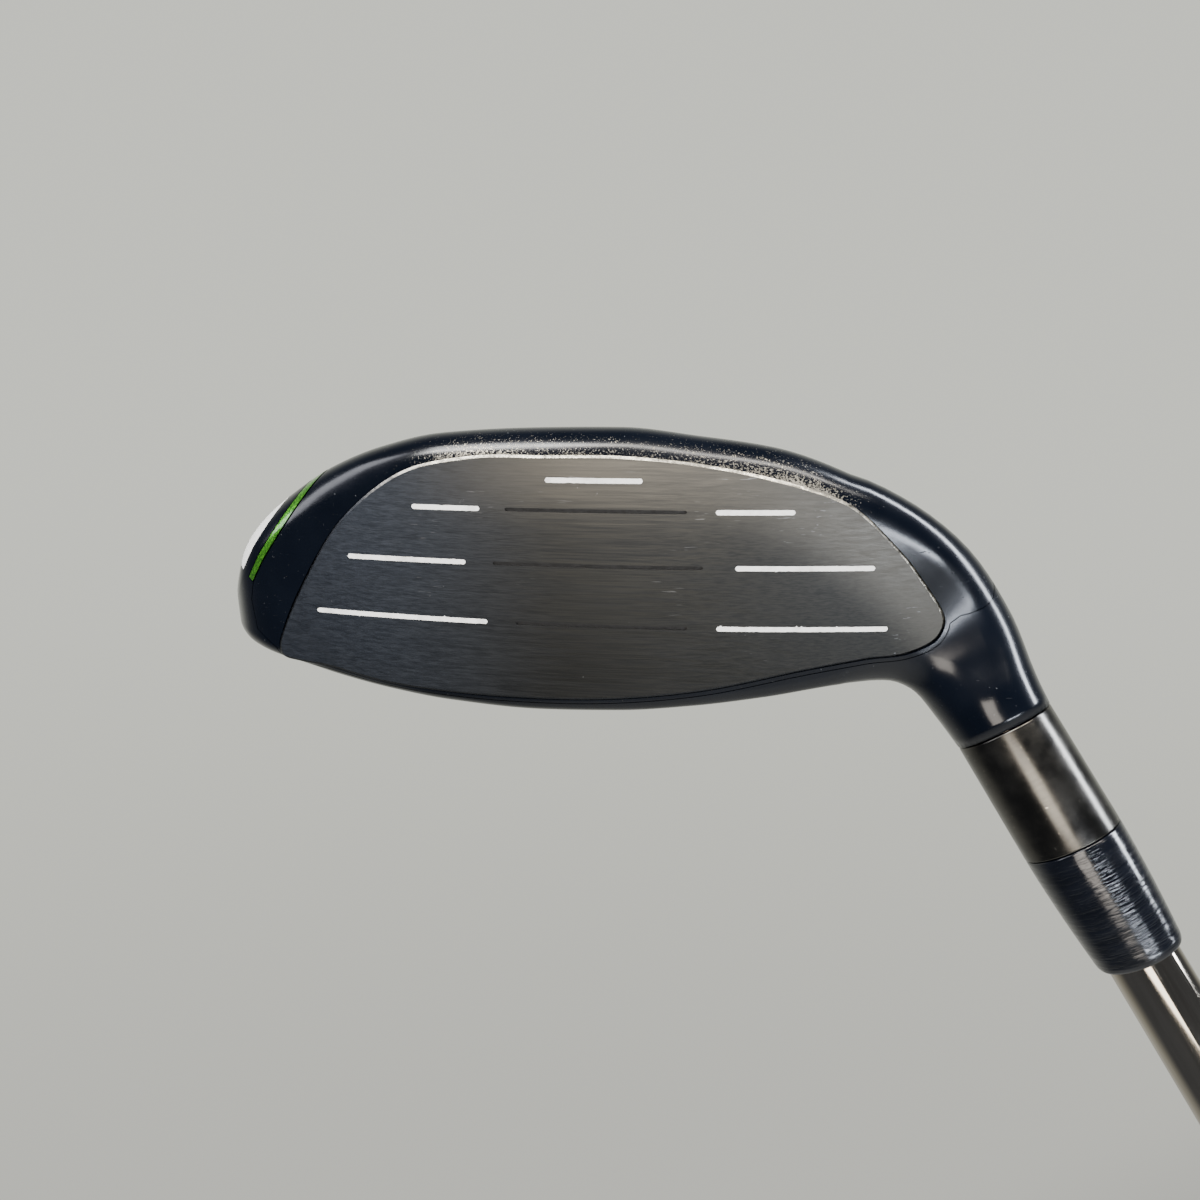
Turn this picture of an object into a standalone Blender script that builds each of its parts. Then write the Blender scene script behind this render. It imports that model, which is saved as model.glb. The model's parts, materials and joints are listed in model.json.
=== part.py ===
"""A left-handed hybrid golf club with a bonded hosel, in metres.

The club stands on the flat end of its grip: the origin is the centre of that end and +Z runs
up the shaft to the head. Pieces on the shaft are turned about Z. The head is modelled as a
golfer sees it at address, in the frame of the empty "head_frame": there +X runs from heel to
toe, +Y from face to back, +Z from sole to crown, and its origin is where the shaft's axis
meets the ground. The empty then lays that frame on the shaft at the lie angle.
"""

from math import atan, cos, pi, radians, sin, tan

import bmesh
import bpy
import numpy as np

MM = 0.001

# driving dimensions of the club
CLUB_LENGTH = 1.003          # along the shaft's axis, from the grip's end to the ground
LIE = radians(59.1)          # shaft to ground at address
LOFT = radians(21.1)
FIT_GAP = 0.0003             # between bonded or seated pieces
GROUND = CLUB_LENGTH         # height of the head frame's origin

# shaft: stepped steel tube, standard tip and butt
TIP_DIAMETER = 0.0094
BUTT_DIAMETER = 0.01524
SHAFT_WALL = 0.0006
SHAFT_STEPS = 14
STEP_PITCH = 0.038
BUTT_PARALLEL = 0.240        # from the butt to the first step

# hosel, as distances up the shaft from the ground point
BORE_BOTTOM = 0.0235
HOSEL_TOP = 0.0434
COLLAR_LENGTH = 0.0172
FERRULE_LENGTH = 0.0164
HOSEL_DIAMETER = 0.0133
FERRULE_END_DIAMETER = 0.0116
FERRULE_ROUND = 0.0017
EDGE_BREAK = 0.00025

# grip
GRIP_LENGTH = 0.267
GRIP_CAP_THICKNESS = 0.0042
GRIP_CAP_DIAMETER = 0.0312
GRIP_BUTT_DIAMETER = 0.0272
GRIP_MOUTH_DIAMETER = 0.0192
GRIP_FLARE = 0.014           # length of the swell next to the cap
VENT_DIAMETER = 0.0032
TAPE_THICKNESS = 0.0003

# label sleeve on the shaft
LABEL_GAP = 0.033            # from the grip's mouth to the label
LABEL_LENGTH = 0.090
LABEL_THICKNESS = 0.0003

# head shell
FACE_CENTRE = (0.0327, -0.0135, 0.01855)
FACE_BULGE = 0.2355          # heel to toe radius of the hitting face
FACE_ROLL = 0.254            # crown to sole radius of the hitting face
SHELL_WALL = 0.0019
INLAY_THICKNESS = 0.0009
CUP_DEPTH = 0.0115           # how far the face cup reaches back from the face centre
PIVOT_HEIGHT = 0.046         # section planes turn about this point above the heel
MOST_TRIM = 0.48             # share of a section's edge that one rounded corner may take
FAN_RADIUS = 0.0221          # turns the fan's angle into a distance along the head
HOLLOW_END = 0.0040          # where the head's hollow stops short of the hosel
CUP_BACK_END = 0.019         # how far towards the neck the face cup's inner side is shaped

# score lines: height on the face, then the toe and heel ends of each line
SCORE_WIDTH = 0.0009
SCORE_DEPTH = 0.0005
SCORE_ROWS = (
    (-0.01140, ((0.0069, -0.0060),)),
    (-0.00740, ((0.0257, 0.0160), (0.0125, -0.0117), (-0.0154, -0.0256))),
    (0.00000, ((0.0359, 0.0183), (0.0144, -0.0139), (-0.0181, -0.0362))),
    (0.00835, ((0.0415, 0.0155), (0.0114, -0.0119), (-0.0158, -0.0384))),
)

# weight screw in the sole and the pad inside
SCREW_PLACE = (0.043, 0.0215)
SCREW_HEAD_DIAMETER = 0.0125
SCREW_HEAD_HEIGHT = 0.0034
SCREW_SHANK_DIAMETER = 0.0062
SCREW_SHANK_LENGTH = 0.0062
BOSS_WALL = 0.0020           # round the hole for the screw's head, before clearance
BOSS_HEIGHT = 0.0060
SEAL_HEIGHT = 0.0008
SCREW_SINK = 0.0004          # how far the screw's head lies below the sole
DRIVE_RADIUS = 0.0022
DRIVE_DEPTH = 0.0018

# the two inlays round the lower toe, as distances outwards from the toe seam
ACCENT_WIDTH = 0.0011
BADGE_START = 0.0026
BADGE_END = 0.0120
BADGE_DEPTH = 0.0230         # how far behind the face centre's plane the badge ends

# Section stations, in mm. Distance is measured towards the neck from the plane at the pivot,
# so stations on the head are at minus their X. Sole and crown are heights at the front,
# back is the rear edge, and setback is how far the toe turns away from the face surface.
STATIONS = (
    # distance, sole, crown, back, setback
    (-92.4, 21.6, 25.2, 13.5, 11.0),
    (-91.5, 19.4, 27.0, 17.0, 7.0),
    (-89.6, 17.0, 28.4, 20.5, 3.6),
    (-86.8, 13.8, 29.9, 24.0, 1.4),
    (-83.0, 10.9, 31.3, 27.2, 0.3),
    (-78.0, 7.8, 32.6, 30.5, 0.0),
    (-72.0, 4.7, 34.2, 34.0, 0.0),
    (-64.0, 2.1, 35.9, 37.0, 0.0),
    (-55.0, 0.5, 37.2, 38.8, 0.0),
    (-42.0, 0.0, 38.0, 38.3, 0.0),
    (-30.0, -0.1, 37.7, 35.3, 0.0),
    (-20.0, 0.8, 36.7, 31.0, 0.0),
    (-10.0, 1.9, 35.1, 25.0, 0.0),
    (0.0, 4.8, 33.1, 18.5, 0.0),
    (3.9, 6.6, 32.7, 15.5, 0.0),
    (7.7, 8.2, 32.0, 13.0, 0.0),
    (11.6, 9.7, 31.0, 10.8, 0.0),
    (16.2, 12.0, 30.1, 8.8, 0.0),
)
NECK_FLARE = 0.0004          # how much wider than the hosel the neck is where it leaves the head


def station_table():
    """Rows of distance, sole, crown, back and setback in metres, ending in the round hosel."""
    rows = [tuple(value * MM for value in row) for row in STATIONS]
    centre = PIVOT_HEIGHT - PIVOT_HEIGHT * cos(LIE)
    fan_end = FAN_RADIUS * LIE
    top = fan_end + HOSEL_TOP - PIVOT_HEIGHT * sin(LIE)
    for distance, radius in ((fan_end, HOSEL_DIAMETER / 2 + NECK_FLARE), (top, HOSEL_DIAMETER / 2)):
        rows.append((distance, centre - radius, centre + radius, radius, 0.0))
    return np.array(rows)


def smooth(xs, ys, x):
    """Monotone cubic through the points, so an outline has no ripples between them."""
    steps = np.diff(xs)
    slopes = np.diff(ys) / steps
    tangents = np.zeros(len(xs))
    tangents[0], tangents[-1] = slopes[0], slopes[-1]
    for i in range(1, len(xs) - 1):
        if slopes[i - 1] * slopes[i] > 0:
            before, after = 2 * steps[i] + steps[i - 1], steps[i] + 2 * steps[i - 1]
            tangents[i] = (before + after) / (before / slopes[i - 1] + after / slopes[i])
    i = int(np.clip(np.searchsorted(xs, x) - 1, 0, len(steps) - 1))
    t = (x - xs[i]) / steps[i]
    return (ys[i] * (1 + 2 * t) * (1 - t) ** 2 + ys[i + 1] * t * t * (3 - 2 * t)
            + steps[i] * (tangents[i] * t * (1 - t) ** 2 - tangents[i + 1] * t * t * (1 - t)))


def ramp(value, low, high):
    """0 below low, 1 above high, and a smooth rise between them."""
    t = min(max((value - low) / (high - low), 0.0), 1.0)
    return t * t * (3 - 2 * t)


def face_y(x, z):
    """Depth of the hitting face at a place in the front view."""
    across = x - FACE_CENTRE[0]
    up = (z - FACE_CENTRE[2]) / cos(LOFT)
    hollow = across ** 2 / (2 * FACE_BULGE) + up ** 2 / (2 * FACE_ROLL)
    return FACE_CENTRE[1] + (z - FACE_CENTRE[2]) * tan(LOFT) + hollow / cos(LOFT)


def face_point(across, up, out=0.0):
    """A point on the hitting face from its centre, raised off the face by out."""
    hollow = across ** 2 / (2 * FACE_BULGE) + up ** 2 / (2 * FACE_ROLL) - out
    x, y, z = FACE_CENTRE
    return (x + across, y + up * sin(LOFT) + hollow * cos(LOFT),
            z + up * cos(LOFT) - hollow * sin(LOFT))


def place_on_station(distance, y, height):
    """A section's point in the head frame: straight, then fanned about the pivot, then along the neck."""
    fan_end = FAN_RADIUS * LIE
    angle = min(max(distance, 0.0) / FAN_RADIUS, LIE)
    reach = PIVOT_HEIGHT - height
    along = max(distance - fan_end, 0.0)
    x = -min(distance, 0.0) - reach * sin(angle) - along * cos(LIE)
    z = PIVOT_HEIGHT - reach * cos(angle) + along * sin(LIE)
    return x, y, z


def section_corners(distance, inset):
    """The section's four corners as (y, height), their trims and the crown of each edge."""
    table = station_table()
    sole, crown, back, setback = (smooth(table[:, 0], table[:, i], distance) for i in range(1, 5))
    neck = ramp(distance, 0.008, FAN_RADIUS * LIE)
    radius = smooth(table[:, 0], table[:, 3], max(distance, FAN_RADIUS * LIE))
    tall = crown - sole

    def front(height):
        x, _, z = place_on_station(distance, 0.0, height)
        return (1 - neck) * (face_y(x, z) + setback) - neck * radius

    open_end = 1 - neck
    corners = [(front(crown), crown), (front(sole), sole),
               (back - 0.003 * open_end * min(tall / 0.03, 1.0), sole + 0.20 * tall * open_end),
               (back, crown - 0.32 * tall * open_end)]
    trims = [(1 - neck) * size + neck * radius for size in (0.0018, 0.0062, 0.010, 0.010)]
    trims[0] += 0.0035 * ramp(distance, -0.004, 0.012) * open_end
    bulges = [0.018 * open_end, 0.045 * open_end, 0.07 * open_end, 0.055 * open_end]
    if inset:
        corners = inset_corners(corners, inset)
        trims = [max(trim - inset, 0.001) for trim in trims]
    return corners, trims, bulges


def inset_corners(corners, inset):
    """Each edge of the four-sided outline moved inwards, and the corners where they meet."""
    points = [np.array(corner) for corner in corners]
    lines = []
    for i, start in enumerate(points):
        run = points[(i + 1) % 4] - start
        run /= np.linalg.norm(run)
        inward = np.array((-run[1], run[0]))
        lines.append((start + inward * inset, run))
    moved = []
    for i in range(4):
        (start, run), (other, turn) = lines[i - 1], lines[i]
        gap = other - start
        reach = (gap[0] * turn[1] - gap[1] * turn[0]) / (run[0] * turn[1] - run[1] * turn[0])
        moved.append(tuple(start + run * reach))
    return moved


def section_loop(distance, inset=0.0, edge_steps=(6, 6, 3, 7), corner_steps=4):
    """Points round a section: four gently crowned edges joined by rounded corners."""
    corners, trims, bulges = section_corners(distance, inset)
    points = [np.array(corner) for corner in corners]
    edges = []
    for i in range(4):
        start, end = points[i], points[(i + 1) % 4]
        length = np.linalg.norm(end - start)
        cut = [min(trim, MOST_TRIM * length) for trim in (trims[i], trims[(i + 1) % 4])]
        outward = np.array((end[1] - start[1], start[0] - end[0])) / length
        edges.append((start, end, outward * bulges[i] * length, cut[0] / length, 1 - cut[1] / length))

    def on_edge(edge, t):
        start, end, bulge = edge[:3]
        return start + (end - start) * t + bulge * 4 * t * (1 - t)

    def heading(edge, t):
        start, end, bulge = edge[:3]
        return end - start + bulge * 4 * (1 - 2 * t)

    loop = []
    for i, edge in enumerate(edges):
        first, last = edge[3], edge[4]
        for step in range(edge_steps[i]):
            loop.append(on_edge(edge, first + (last - first) * step / edge_steps[i]))
        follower = edges[(i + 1) % 4]
        enter, leave = on_edge(edge, last), on_edge(follower, follower[3])
        pull = 0.5523
        out_handle = enter + heading(edge, last) * (1 - last) * pull
        in_handle = leave - heading(follower, follower[3]) * follower[3] * pull
        for step in range(corner_steps):
            t = step / corner_steps
            loop.append(enter * (1 - t) ** 3 + out_handle * 3 * t * (1 - t) ** 2
                        + in_handle * 3 * t * t * (1 - t) + leave * t ** 3)
    return loop


# scene helpers

def clear_scene():
    for obj in list(bpy.data.objects):
        bpy.data.objects.remove(obj, do_unlink=True)


def new_collection(name):
    collection = bpy.data.collections.new(name)
    bpy.context.scene.collection.children.link(collection)
    return collection


def new_material(name, color, metallic, roughness):
    material = bpy.data.materials.new(name)
    material.use_nodes = True
    shader = material.node_tree.nodes["Principled BSDF"]
    shader.inputs["Base Color"].default_value = (*color, 1.0)
    shader.inputs["Metallic"].default_value = metallic
    shader.inputs["Roughness"].default_value = roughness
    return material


def new_object(name, mesh, collection, parent=None, material=None):
    obj = bpy.data.objects.new(name, mesh)
    collection.objects.link(obj)
    obj.parent = parent
    if material:
        mesh.materials.append(material)
    return obj


def make_cutter(obj):
    obj.hide_render = True
    obj.display_type = "WIRE"
    return obj


def boolean(obj, cutter, operation="DIFFERENCE"):
    cut = obj.modifiers.new(f"{operation.title()} {cutter.name}", "BOOLEAN")
    cut.operation = operation
    cut.solver = "EXACT"
    cut.object = cutter
    return cut


def shade_round(mesh, angle=35):
    mesh.shade_smooth()
    mesh.set_sharp_from_angle(angle=radians(angle))


def loft_mesh(name, loops):
    """A closed skin through loops that have the same number of points, capped at both ends."""
    bm = bmesh.new()
    rings = [[bm.verts.new(point) for point in loop] for loop in loops]
    for ring, following in zip(rings, rings[1:]):
        for i in range(len(ring)):
            j = (i + 1) % len(ring)
            bm.faces.new((ring[i], ring[j], following[j], following[i]))
    bm.faces.new(rings[0][::-1])
    bm.faces.new(rings[-1])
    bmesh.ops.recalc_face_normals(bm, faces=bm.faces)
    mesh = bpy.data.meshes.new(name)
    bm.to_mesh(mesh)
    bm.free()
    shade_round(mesh)
    return mesh


def prism_mesh(name, outline, near, far):
    """A prism between two copies of an outline; near and far place an outline point in space."""
    return loft_mesh(name, [[near(*point) for point in outline], [far(*point) for point in outline]])


def turned(name, outline, collection, parent=None, material=None, steps=32):
    """A solid of revolution about Z from a closed outline of (radius, height) points."""
    mesh = bpy.data.meshes.new(name)
    count = len(outline)
    mesh.from_pydata([(radius, 0.0, height) for radius, height in outline],
                     [(i, (i + 1) % count) for i in range(count)], [])
    obj = new_object(name, mesh, collection, parent, material)
    screw = obj.modifiers.new("Turn", "SCREW")
    screw.steps = screw.render_steps = steps
    screw.use_merge_vertices = True
    screw.merge_threshold = 0.00001
    screw.use_smooth_shade = True
    return obj


def on_shaft(distance):
    """Height in the club's frame of a place on the shaft, from its distance to the ground point."""
    return GROUND - distance


# head

def head_distances(first, last, count):
    """Section places, closer together towards the toe's end where the shell turns fastest."""
    ease = [i / (count - 1) for i in range(count)]
    return [first + (last - first) * (0.35 * t * t + 0.65 * t) for t in ease]


def head_skin(name, inset, first, last, count):
    loops = []
    for distance in head_distances(first, last, count):
        loops.append([place_on_station(distance, y, height)
                      for y, height in section_loop(distance, inset)])
    return loft_mesh(name, loops)


FACE_TOP = (                 # across and up the face from its centre, toe to heel, in mm
    (48.4, 15.6), (45.5, 16.8), (40.5, 17.3), (32.5, 18.7), (24.8, 19.4), (12.0, 19.7), (0.0, 19.2),
    (-13.8, 17.6), (-27.1, 14.8), (-38.0, 12.6), (-42.6, 11.2), (-45.0, 9.4), (-46.1, 7.2))


TOE_SEAM = (                 # where the cup ends round the lower toe, sole to crown, in mm
    (34.6, -17.6), (37.4, -14.2), (39.6, -11.4), (45.4, -4.0), (49.7, 1.5), (52.2, 5.2), (53.0, 8.0))


def cup_outline():
    """Outline of the face cup in the face's plane: the face's top edge, the neck, sole and toe."""
    top = [(across * MM, up * MM) for across, up in FACE_TOP]
    neck = [(-0.0478, 0.0066), (-0.0500, 0.0059), (-0.0515, 0.0052), (-0.0526, 0.0036),
            (-0.0545, -0.0020), (-0.0580, -0.0130)]
    below = [(-0.0600, -0.0400), (0.0300, -0.0400)]
    toe = [(across * MM, up * MM) for across, up in TOE_SEAM]
    return top + neck + below + toe + [(0.0525, 0.0125)]


def face_plane(depth):
    """Places across and up in a plane behind the face centre and square to the face there."""
    def place(across, up):
        x, y, z = FACE_CENTRE
        return (x + across, y + up * sin(LOFT) + depth * cos(LOFT),
                z + up * cos(LOFT) - depth * sin(LOFT))
    return place


def cup_region(name, grow, behind, collection, parent):
    """The space that the face cup fills, grown by the seam's gap, in front of the skin behind it."""
    outline = grow_outline(cup_outline(), grow)
    mesh = prism_mesh(name, outline, face_plane(-0.030), face_plane(CUP_DEPTH + grow))
    region = make_cutter(new_object(name, mesh, collection, parent))
    boolean(region, behind)
    return region


def grow_outline(outline, grow):
    """An outline moved outwards along its own normals; a negative growth shrinks it."""
    points = [np.array(point) for point in outline]
    area = sum(a[0] * b[1] - b[0] * a[1] for a, b in zip(points, points[1:] + points[:1]))
    side = 1.0 if area > 0 else -1.0
    moved = []
    for before, here, after in zip(points[-1:] + points[:-1], points, points[1:] + points[:1]):
        first, second = here - before, after - here
        first, second = first / np.linalg.norm(first), second / np.linalg.norm(second)
        normal = np.array((first[1] + second[1], -first[0] - second[0])) * side
        normal /= np.linalg.norm(normal)
        spread = max(abs(normal @ np.array((first[1], -first[0]))), 0.5)
        moved.append(tuple(here + normal * grow / spread))
    return moved


def crown_outline():
    """Plan outline of the crown cover, from heel to toe behind the face and back round the tail."""
    front = [(0.012, 0.0035), (0.030, 0.0015), (0.050, 0.0020), (0.068, 0.0050), (0.076, 0.0095)]
    rear = [(0.0785, 0.0165), (0.0745, 0.0235), (0.0650, 0.0295), (0.0520, 0.0320), (0.0400, 0.0310),
            (0.0280, 0.0275), (0.0170, 0.0220), (0.0090, 0.0160), (0.0070, 0.0090)]
    return front + rear


def crown_region(name, grow, collection, parent):
    outline = grow_outline(crown_outline(), grow)
    mesh = prism_mesh(name, outline, lambda x, y: (x, y, 0.018), lambda x, y: (x, y, 0.060))
    return make_cutter(new_object(name, mesh, collection, parent))


def sole_panel_outline():
    """Plan outline of the panel let into the sole, with its waist behind the leading edge."""
    return [(0.0170, -0.0010), (0.0350, 0.0035), (0.0480, 0.0035), (0.0640, -0.0010), (0.0670, 0.0060),
            (0.0620, 0.0110), (0.0440, 0.0125), (0.0280, 0.0110), (0.0165, 0.0060)]


def sole_region(name, grow, skin, collection, parent):
    """The sole panel's space: a prism with the deeper part of the head taken away."""
    outline = grow_outline(sole_panel_outline(), grow)
    mesh = prism_mesh(name, outline, lambda x, y: (x, y, -0.010), lambda x, y: (x, y, 0.012))
    region = make_cutter(new_object(name, mesh, collection, parent))
    boolean(region, skin)
    return region


def toe_region(name, near, far, depth, grow, skin, collection, parent):
    """A band outside the toe seam between two distances from it, as thick as the inlays."""
    seam = [np.array(point) * MM for point in TOE_SEAM[2:-1]]
    outward = seam[-1] - seam[0]
    outward = np.array((outward[1], -outward[0])) / np.linalg.norm(outward)
    along = np.array((-outward[1], outward[0]))
    inner = [point + outward * (near - grow) for point in seam]
    outer = [point + outward * (far + grow) for point in seam]
    for line in (inner, outer):
        line[0] = line[0] - along * grow
        line[-1] = line[-1] + along * grow
    mesh = prism_mesh(name, inner + outer[::-1], face_plane(-0.030), face_plane(depth + grow))
    region = make_cutter(new_object(name, mesh, collection, parent))
    boolean(region, skin)
    return region


def score_cutter(collection, parent):
    """Grooves that follow the bulged face, as one cutter."""
    bm = bmesh.new()
    half = SCORE_WIDTH / 2
    for up, lines in SCORE_ROWS:
        for toe_end, heel_end in lines:
            count = max(3, int((toe_end - heel_end) / 0.005) + 1)
            rings = []
            for i in range(count):
                across = toe_end + (heel_end - toe_end) * i / (count - 1)
                square = ((-half, -SCORE_DEPTH), (half, -SCORE_DEPTH), (half, 0.001), (-half, 0.001))
                rings.append([bm.verts.new(face_point(across, up + side, out)) for side, out in square])
            for ring, following in zip(rings, rings[1:]):
                for k in range(4):
                    j = (k + 1) % 4
                    bm.faces.new((ring[k], ring[j], following[j], following[k]))
            bm.faces.new(rings[0][::-1])
            bm.faces.new(rings[-1])
    bmesh.ops.recalc_face_normals(bm, faces=bm.faces)
    mesh = bpy.data.meshes.new("score_lines")
    bm.to_mesh(mesh)
    bm.free()
    return make_cutter(new_object("score_lines", mesh, collection, parent))


def cylinder(name, radius, length, place, tilt, collection, parent, material=None, sides=32):
    bm = bmesh.new()
    bmesh.ops.create_cone(bm, cap_ends=True, segments=sides, radius1=radius, radius2=radius,
                          depth=length)
    mesh = bpy.data.meshes.new(name)
    bm.to_mesh(mesh)
    bm.free()
    shade_round(mesh)
    obj = new_object(name, mesh, collection, parent, material)
    obj.location = place
    obj.rotation_euler = (0.0, tilt, 0.0)
    return obj


def sole_height(x, y):
    """Height of the outer sole above the ground at a place in plan, from the section there."""
    loop = section_loop(-x)
    middle = sum(height for _, height in loop) / len(loop)
    lower = sorted(point for point in map(tuple, loop) if point[1] < middle)
    return float(np.interp(y, [point[0] for point in lower], [point[1] for point in lower]))


def build_head(parts, cutters, colours):
    empty = bpy.data.objects.new("head_frame", None)
    parts.objects.link(empty)
    empty.location = (0.0, 0.0, GROUND)
    empty.rotation_euler = (0.0, -(pi / 2 + LIE), 0.0)

    toe = STATIONS[0][0] * MM
    neck_top = station_table()[-1, 0]
    skin = (toe, neck_top, 30)

    def inner_skin(name, inset, last):
        mesh = head_skin(name, inset, toe + inset * 1.5, last, 22)
        return make_cutter(new_object(name, mesh, cutters, empty))

    hollow = inner_skin("hollow", SHELL_WALL, HOLLOW_END)
    under_inlay = inner_skin("under_inlay", INLAY_THICKNESS, HOLLOW_END)
    under_recess = inner_skin("under_recess", INLAY_THICKNESS + FIT_GAP, HOLLOW_END)
    behind_cup = inner_skin("behind_cup", SHELL_WALL, CUP_BACK_END)
    behind_opening = inner_skin("behind_opening", SHELL_WALL + 2 * FIT_GAP, CUP_BACK_END)

    face_cup = new_object("face_cup", head_skin("face_cup", 0.0, *skin), parts, empty,
                          colours["brushed_face"])
    boolean(face_cup, cup_region("cup_space", 0.0, behind_cup, cutters, empty), "INTERSECT")
    boolean(face_cup, score_cutter(cutters, empty))

    body = new_object("body_shell", head_skin("body_shell", 0.0, *skin), parts, empty,
                      colours["black_gloss"])
    boolean(body, hollow)
    boolean(body, cup_region("cup_opening", FIT_GAP, behind_opening, cutters, empty))
    boolean(body, crown_region("crown_opening", FIT_GAP, cutters, empty))
    boolean(body, sole_region("panel_recess", FIT_GAP, under_recess, cutters, empty))
    boolean(body, toe_region("accent_recess", -0.001, ACCENT_WIDTH, BADGE_DEPTH, FIT_GAP,
                             under_recess, cutters, empty))
    boolean(body, toe_region("badge_recess", BADGE_START, BADGE_END, BADGE_DEPTH, FIT_GAP,
                             under_recess, cutters, empty))

    crown = new_object("crown_cover", head_skin("crown_cover", 0.0, *skin), parts, empty,
                       colours["black_gloss"])
    boolean(crown, crown_region("crown_space", 0.0, cutters, empty), "INTERSECT")
    boolean(crown, hollow)

    panel = new_object("sole_panel", head_skin("sole_panel", 0.0, *skin), parts, empty,
                       colours["dark_panel"])
    boolean(panel, sole_region("panel_space", 0.0, under_inlay, cutters, empty), "INTERSECT")

    accent = new_object("toe_accent", head_skin("toe_accent", 0.0, *skin), parts, empty,
                        colours["green"])
    boolean(accent, toe_region("accent_space", FIT_GAP, ACCENT_WIDTH, BADGE_DEPTH, 0.0, under_inlay,
                               cutters, empty), "INTERSECT")
    cup_clearance = cup_region("cup_clearance", 2 * FIT_GAP, behind_opening, cutters, empty)
    boolean(accent, cup_clearance)
    badge = new_object("toe_badge", head_skin("toe_badge", 0.0, *skin), parts, empty,
                       colours["white_panel"])
    boolean(badge, toe_region("badge_space", BADGE_START, BADGE_END, BADGE_DEPTH, 0.0, under_inlay,
                              cutters, empty), "INTERSECT")
    boolean(badge, cup_clearance)

    # hosel bore, along the shaft
    bore_length = HOSEL_TOP - BORE_BOTTOM + 0.004
    middle = BORE_BOTTOM + bore_length / 2
    bore = make_cutter(cylinder("hosel_bore", TIP_DIAMETER / 2 + FIT_GAP, bore_length,
                                (-middle * cos(LIE), 0.0, middle * sin(LIE)), -(pi / 2 - LIE),
                                cutters, empty))
    boolean(body, bore)
    boolean(face_cup, bore)
    build_sole_weight(body, parts, cutters, empty, colours)


def build_sole_weight(body, parts, cutters, empty, colours):
    """A screwed weight in the rear sole: its boss, seal ring and screw, square to the sole there."""
    x, y = SCREW_PLACE
    span = SCREW_HEAD_DIAMETER / 2
    rise_back = (sole_height(x, y + span) - sole_height(x, y - span)) / (2 * span)
    rise_toe = (sole_height(x + span, y) - sole_height(x - span, y)) / (2 * span)
    seat_frame = bpy.data.objects.new("screw_frame", None)
    parts.objects.link(seat_frame)
    seat_frame.parent = empty
    seat_frame.location = (x, y, sole_height(x, y))
    seat_frame.rotation_euler = (atan(rise_back), -atan(rise_toe), 0.0)

    seat = SCREW_HEAD_HEIGHT + SCREW_SINK
    boss = make_cutter(cylinder("screw_boss", SCREW_HEAD_DIAMETER / 2 + BOSS_WALL, BOSS_HEIGHT,
                                (0.0, 0.0, seat + BOSS_HEIGHT / 2 - SHELL_WALL), 0.0,
                                cutters, seat_frame))
    boolean(body, boss, "UNION")
    deep = 0.020
    head_hole = make_cutter(cylinder("screw_head_hole", SCREW_HEAD_DIAMETER / 2 + FIT_GAP, deep,
                                     (0.0, 0.0, seat - deep / 2), 0.0, cutters, seat_frame))
    shank_hole = make_cutter(cylinder("screw_shank_hole", SCREW_SHANK_DIAMETER / 2 + FIT_GAP,
                                      2 * deep, (0.0, 0.0, seat), 0.0, cutters, seat_frame))
    boolean(body, head_hole)
    boolean(body, shank_hole)

    radius, shank = SCREW_HEAD_DIAMETER / 2, SCREW_SHANK_DIAMETER / 2
    top = seat - SEAL_HEIGHT - 2 * FIT_GAP
    bottom = SCREW_SINK
    tip = top + SCREW_SHANK_LENGTH
    outline = [(0.0, tip), (shank, tip), (shank, top), (radius, top), (radius, bottom + EDGE_BREAK),
               (radius - EDGE_BREAK, bottom), (0.0, bottom)]
    screw = turned("weight_screw", outline, parts, seat_frame, colours["steel"], steps=24)
    drive = make_cutter(cylinder("screw_drive", DRIVE_RADIUS, 2 * DRIVE_DEPTH, (0.0, 0.0, bottom),
                                 0.0, cutters, seat_frame, sides=6))
    boolean(screw, drive)

    low, high = seat - SEAL_HEIGHT - FIT_GAP, seat - FIT_GAP
    inner, outer = shank + FIT_GAP, radius - EDGE_BREAK
    ring = [(outer, high), (outer, low), (inner, low), (inner, high)]
    turned("screw_seal", ring, parts, seat_frame, colours["rubber"], steps=24)


# hosel and shaft pieces, turned on the club's axis

def build_hosel(parts, colours):
    bore = TIP_DIAMETER / 2 + FIT_GAP
    outer = HOSEL_DIAMETER / 2
    top = on_shaft(HOSEL_TOP + FIT_GAP)
    bottom = on_shaft(HOSEL_TOP + COLLAR_LENGTH)
    outline = [(outer - EDGE_BREAK, top), (outer, top - EDGE_BREAK), (outer, bottom + EDGE_BREAK),
               (outer - EDGE_BREAK, bottom), (bore, bottom), (bore, top)]
    turned("hosel_collar", outline, parts, None, colours["gunmetal"])

    start = bottom - FIT_GAP
    end = start - FERRULE_LENGTH
    tip = FERRULE_END_DIAMETER / 2
    lip = tip - bore - EDGE_BREAK        # the rounded end stops short of the bore
    outline = [(outer - EDGE_BREAK, start), (outer, start - EDGE_BREAK)]
    for i in range(1, 5):
        share = i / 5
        outline.append((outer + (tip - outer) * share ** 1.6,
                        start + (end + FERRULE_ROUND - start) * share))
    for i in range(6):
        turn = i / 5 * pi / 2
        outline.append((tip - lip * (1 - cos(turn)),
                        end + FERRULE_ROUND * (1 - sin(turn))))
    outline += [(bore, end), (bore, start)]
    turned("ferrule", outline, parts, None, colours["black_gloss"])


def shaft_radius(height):
    """Outer radius of the stepped shaft at a height above the grip's end."""
    steps = sum(1 for i in range(SHAFT_STEPS) if height > BUTT_PARALLEL + i * STEP_PITCH)
    return (BUTT_DIAMETER + (TIP_DIAMETER - BUTT_DIAMETER) * steps / SHAFT_STEPS) / 2


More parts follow.
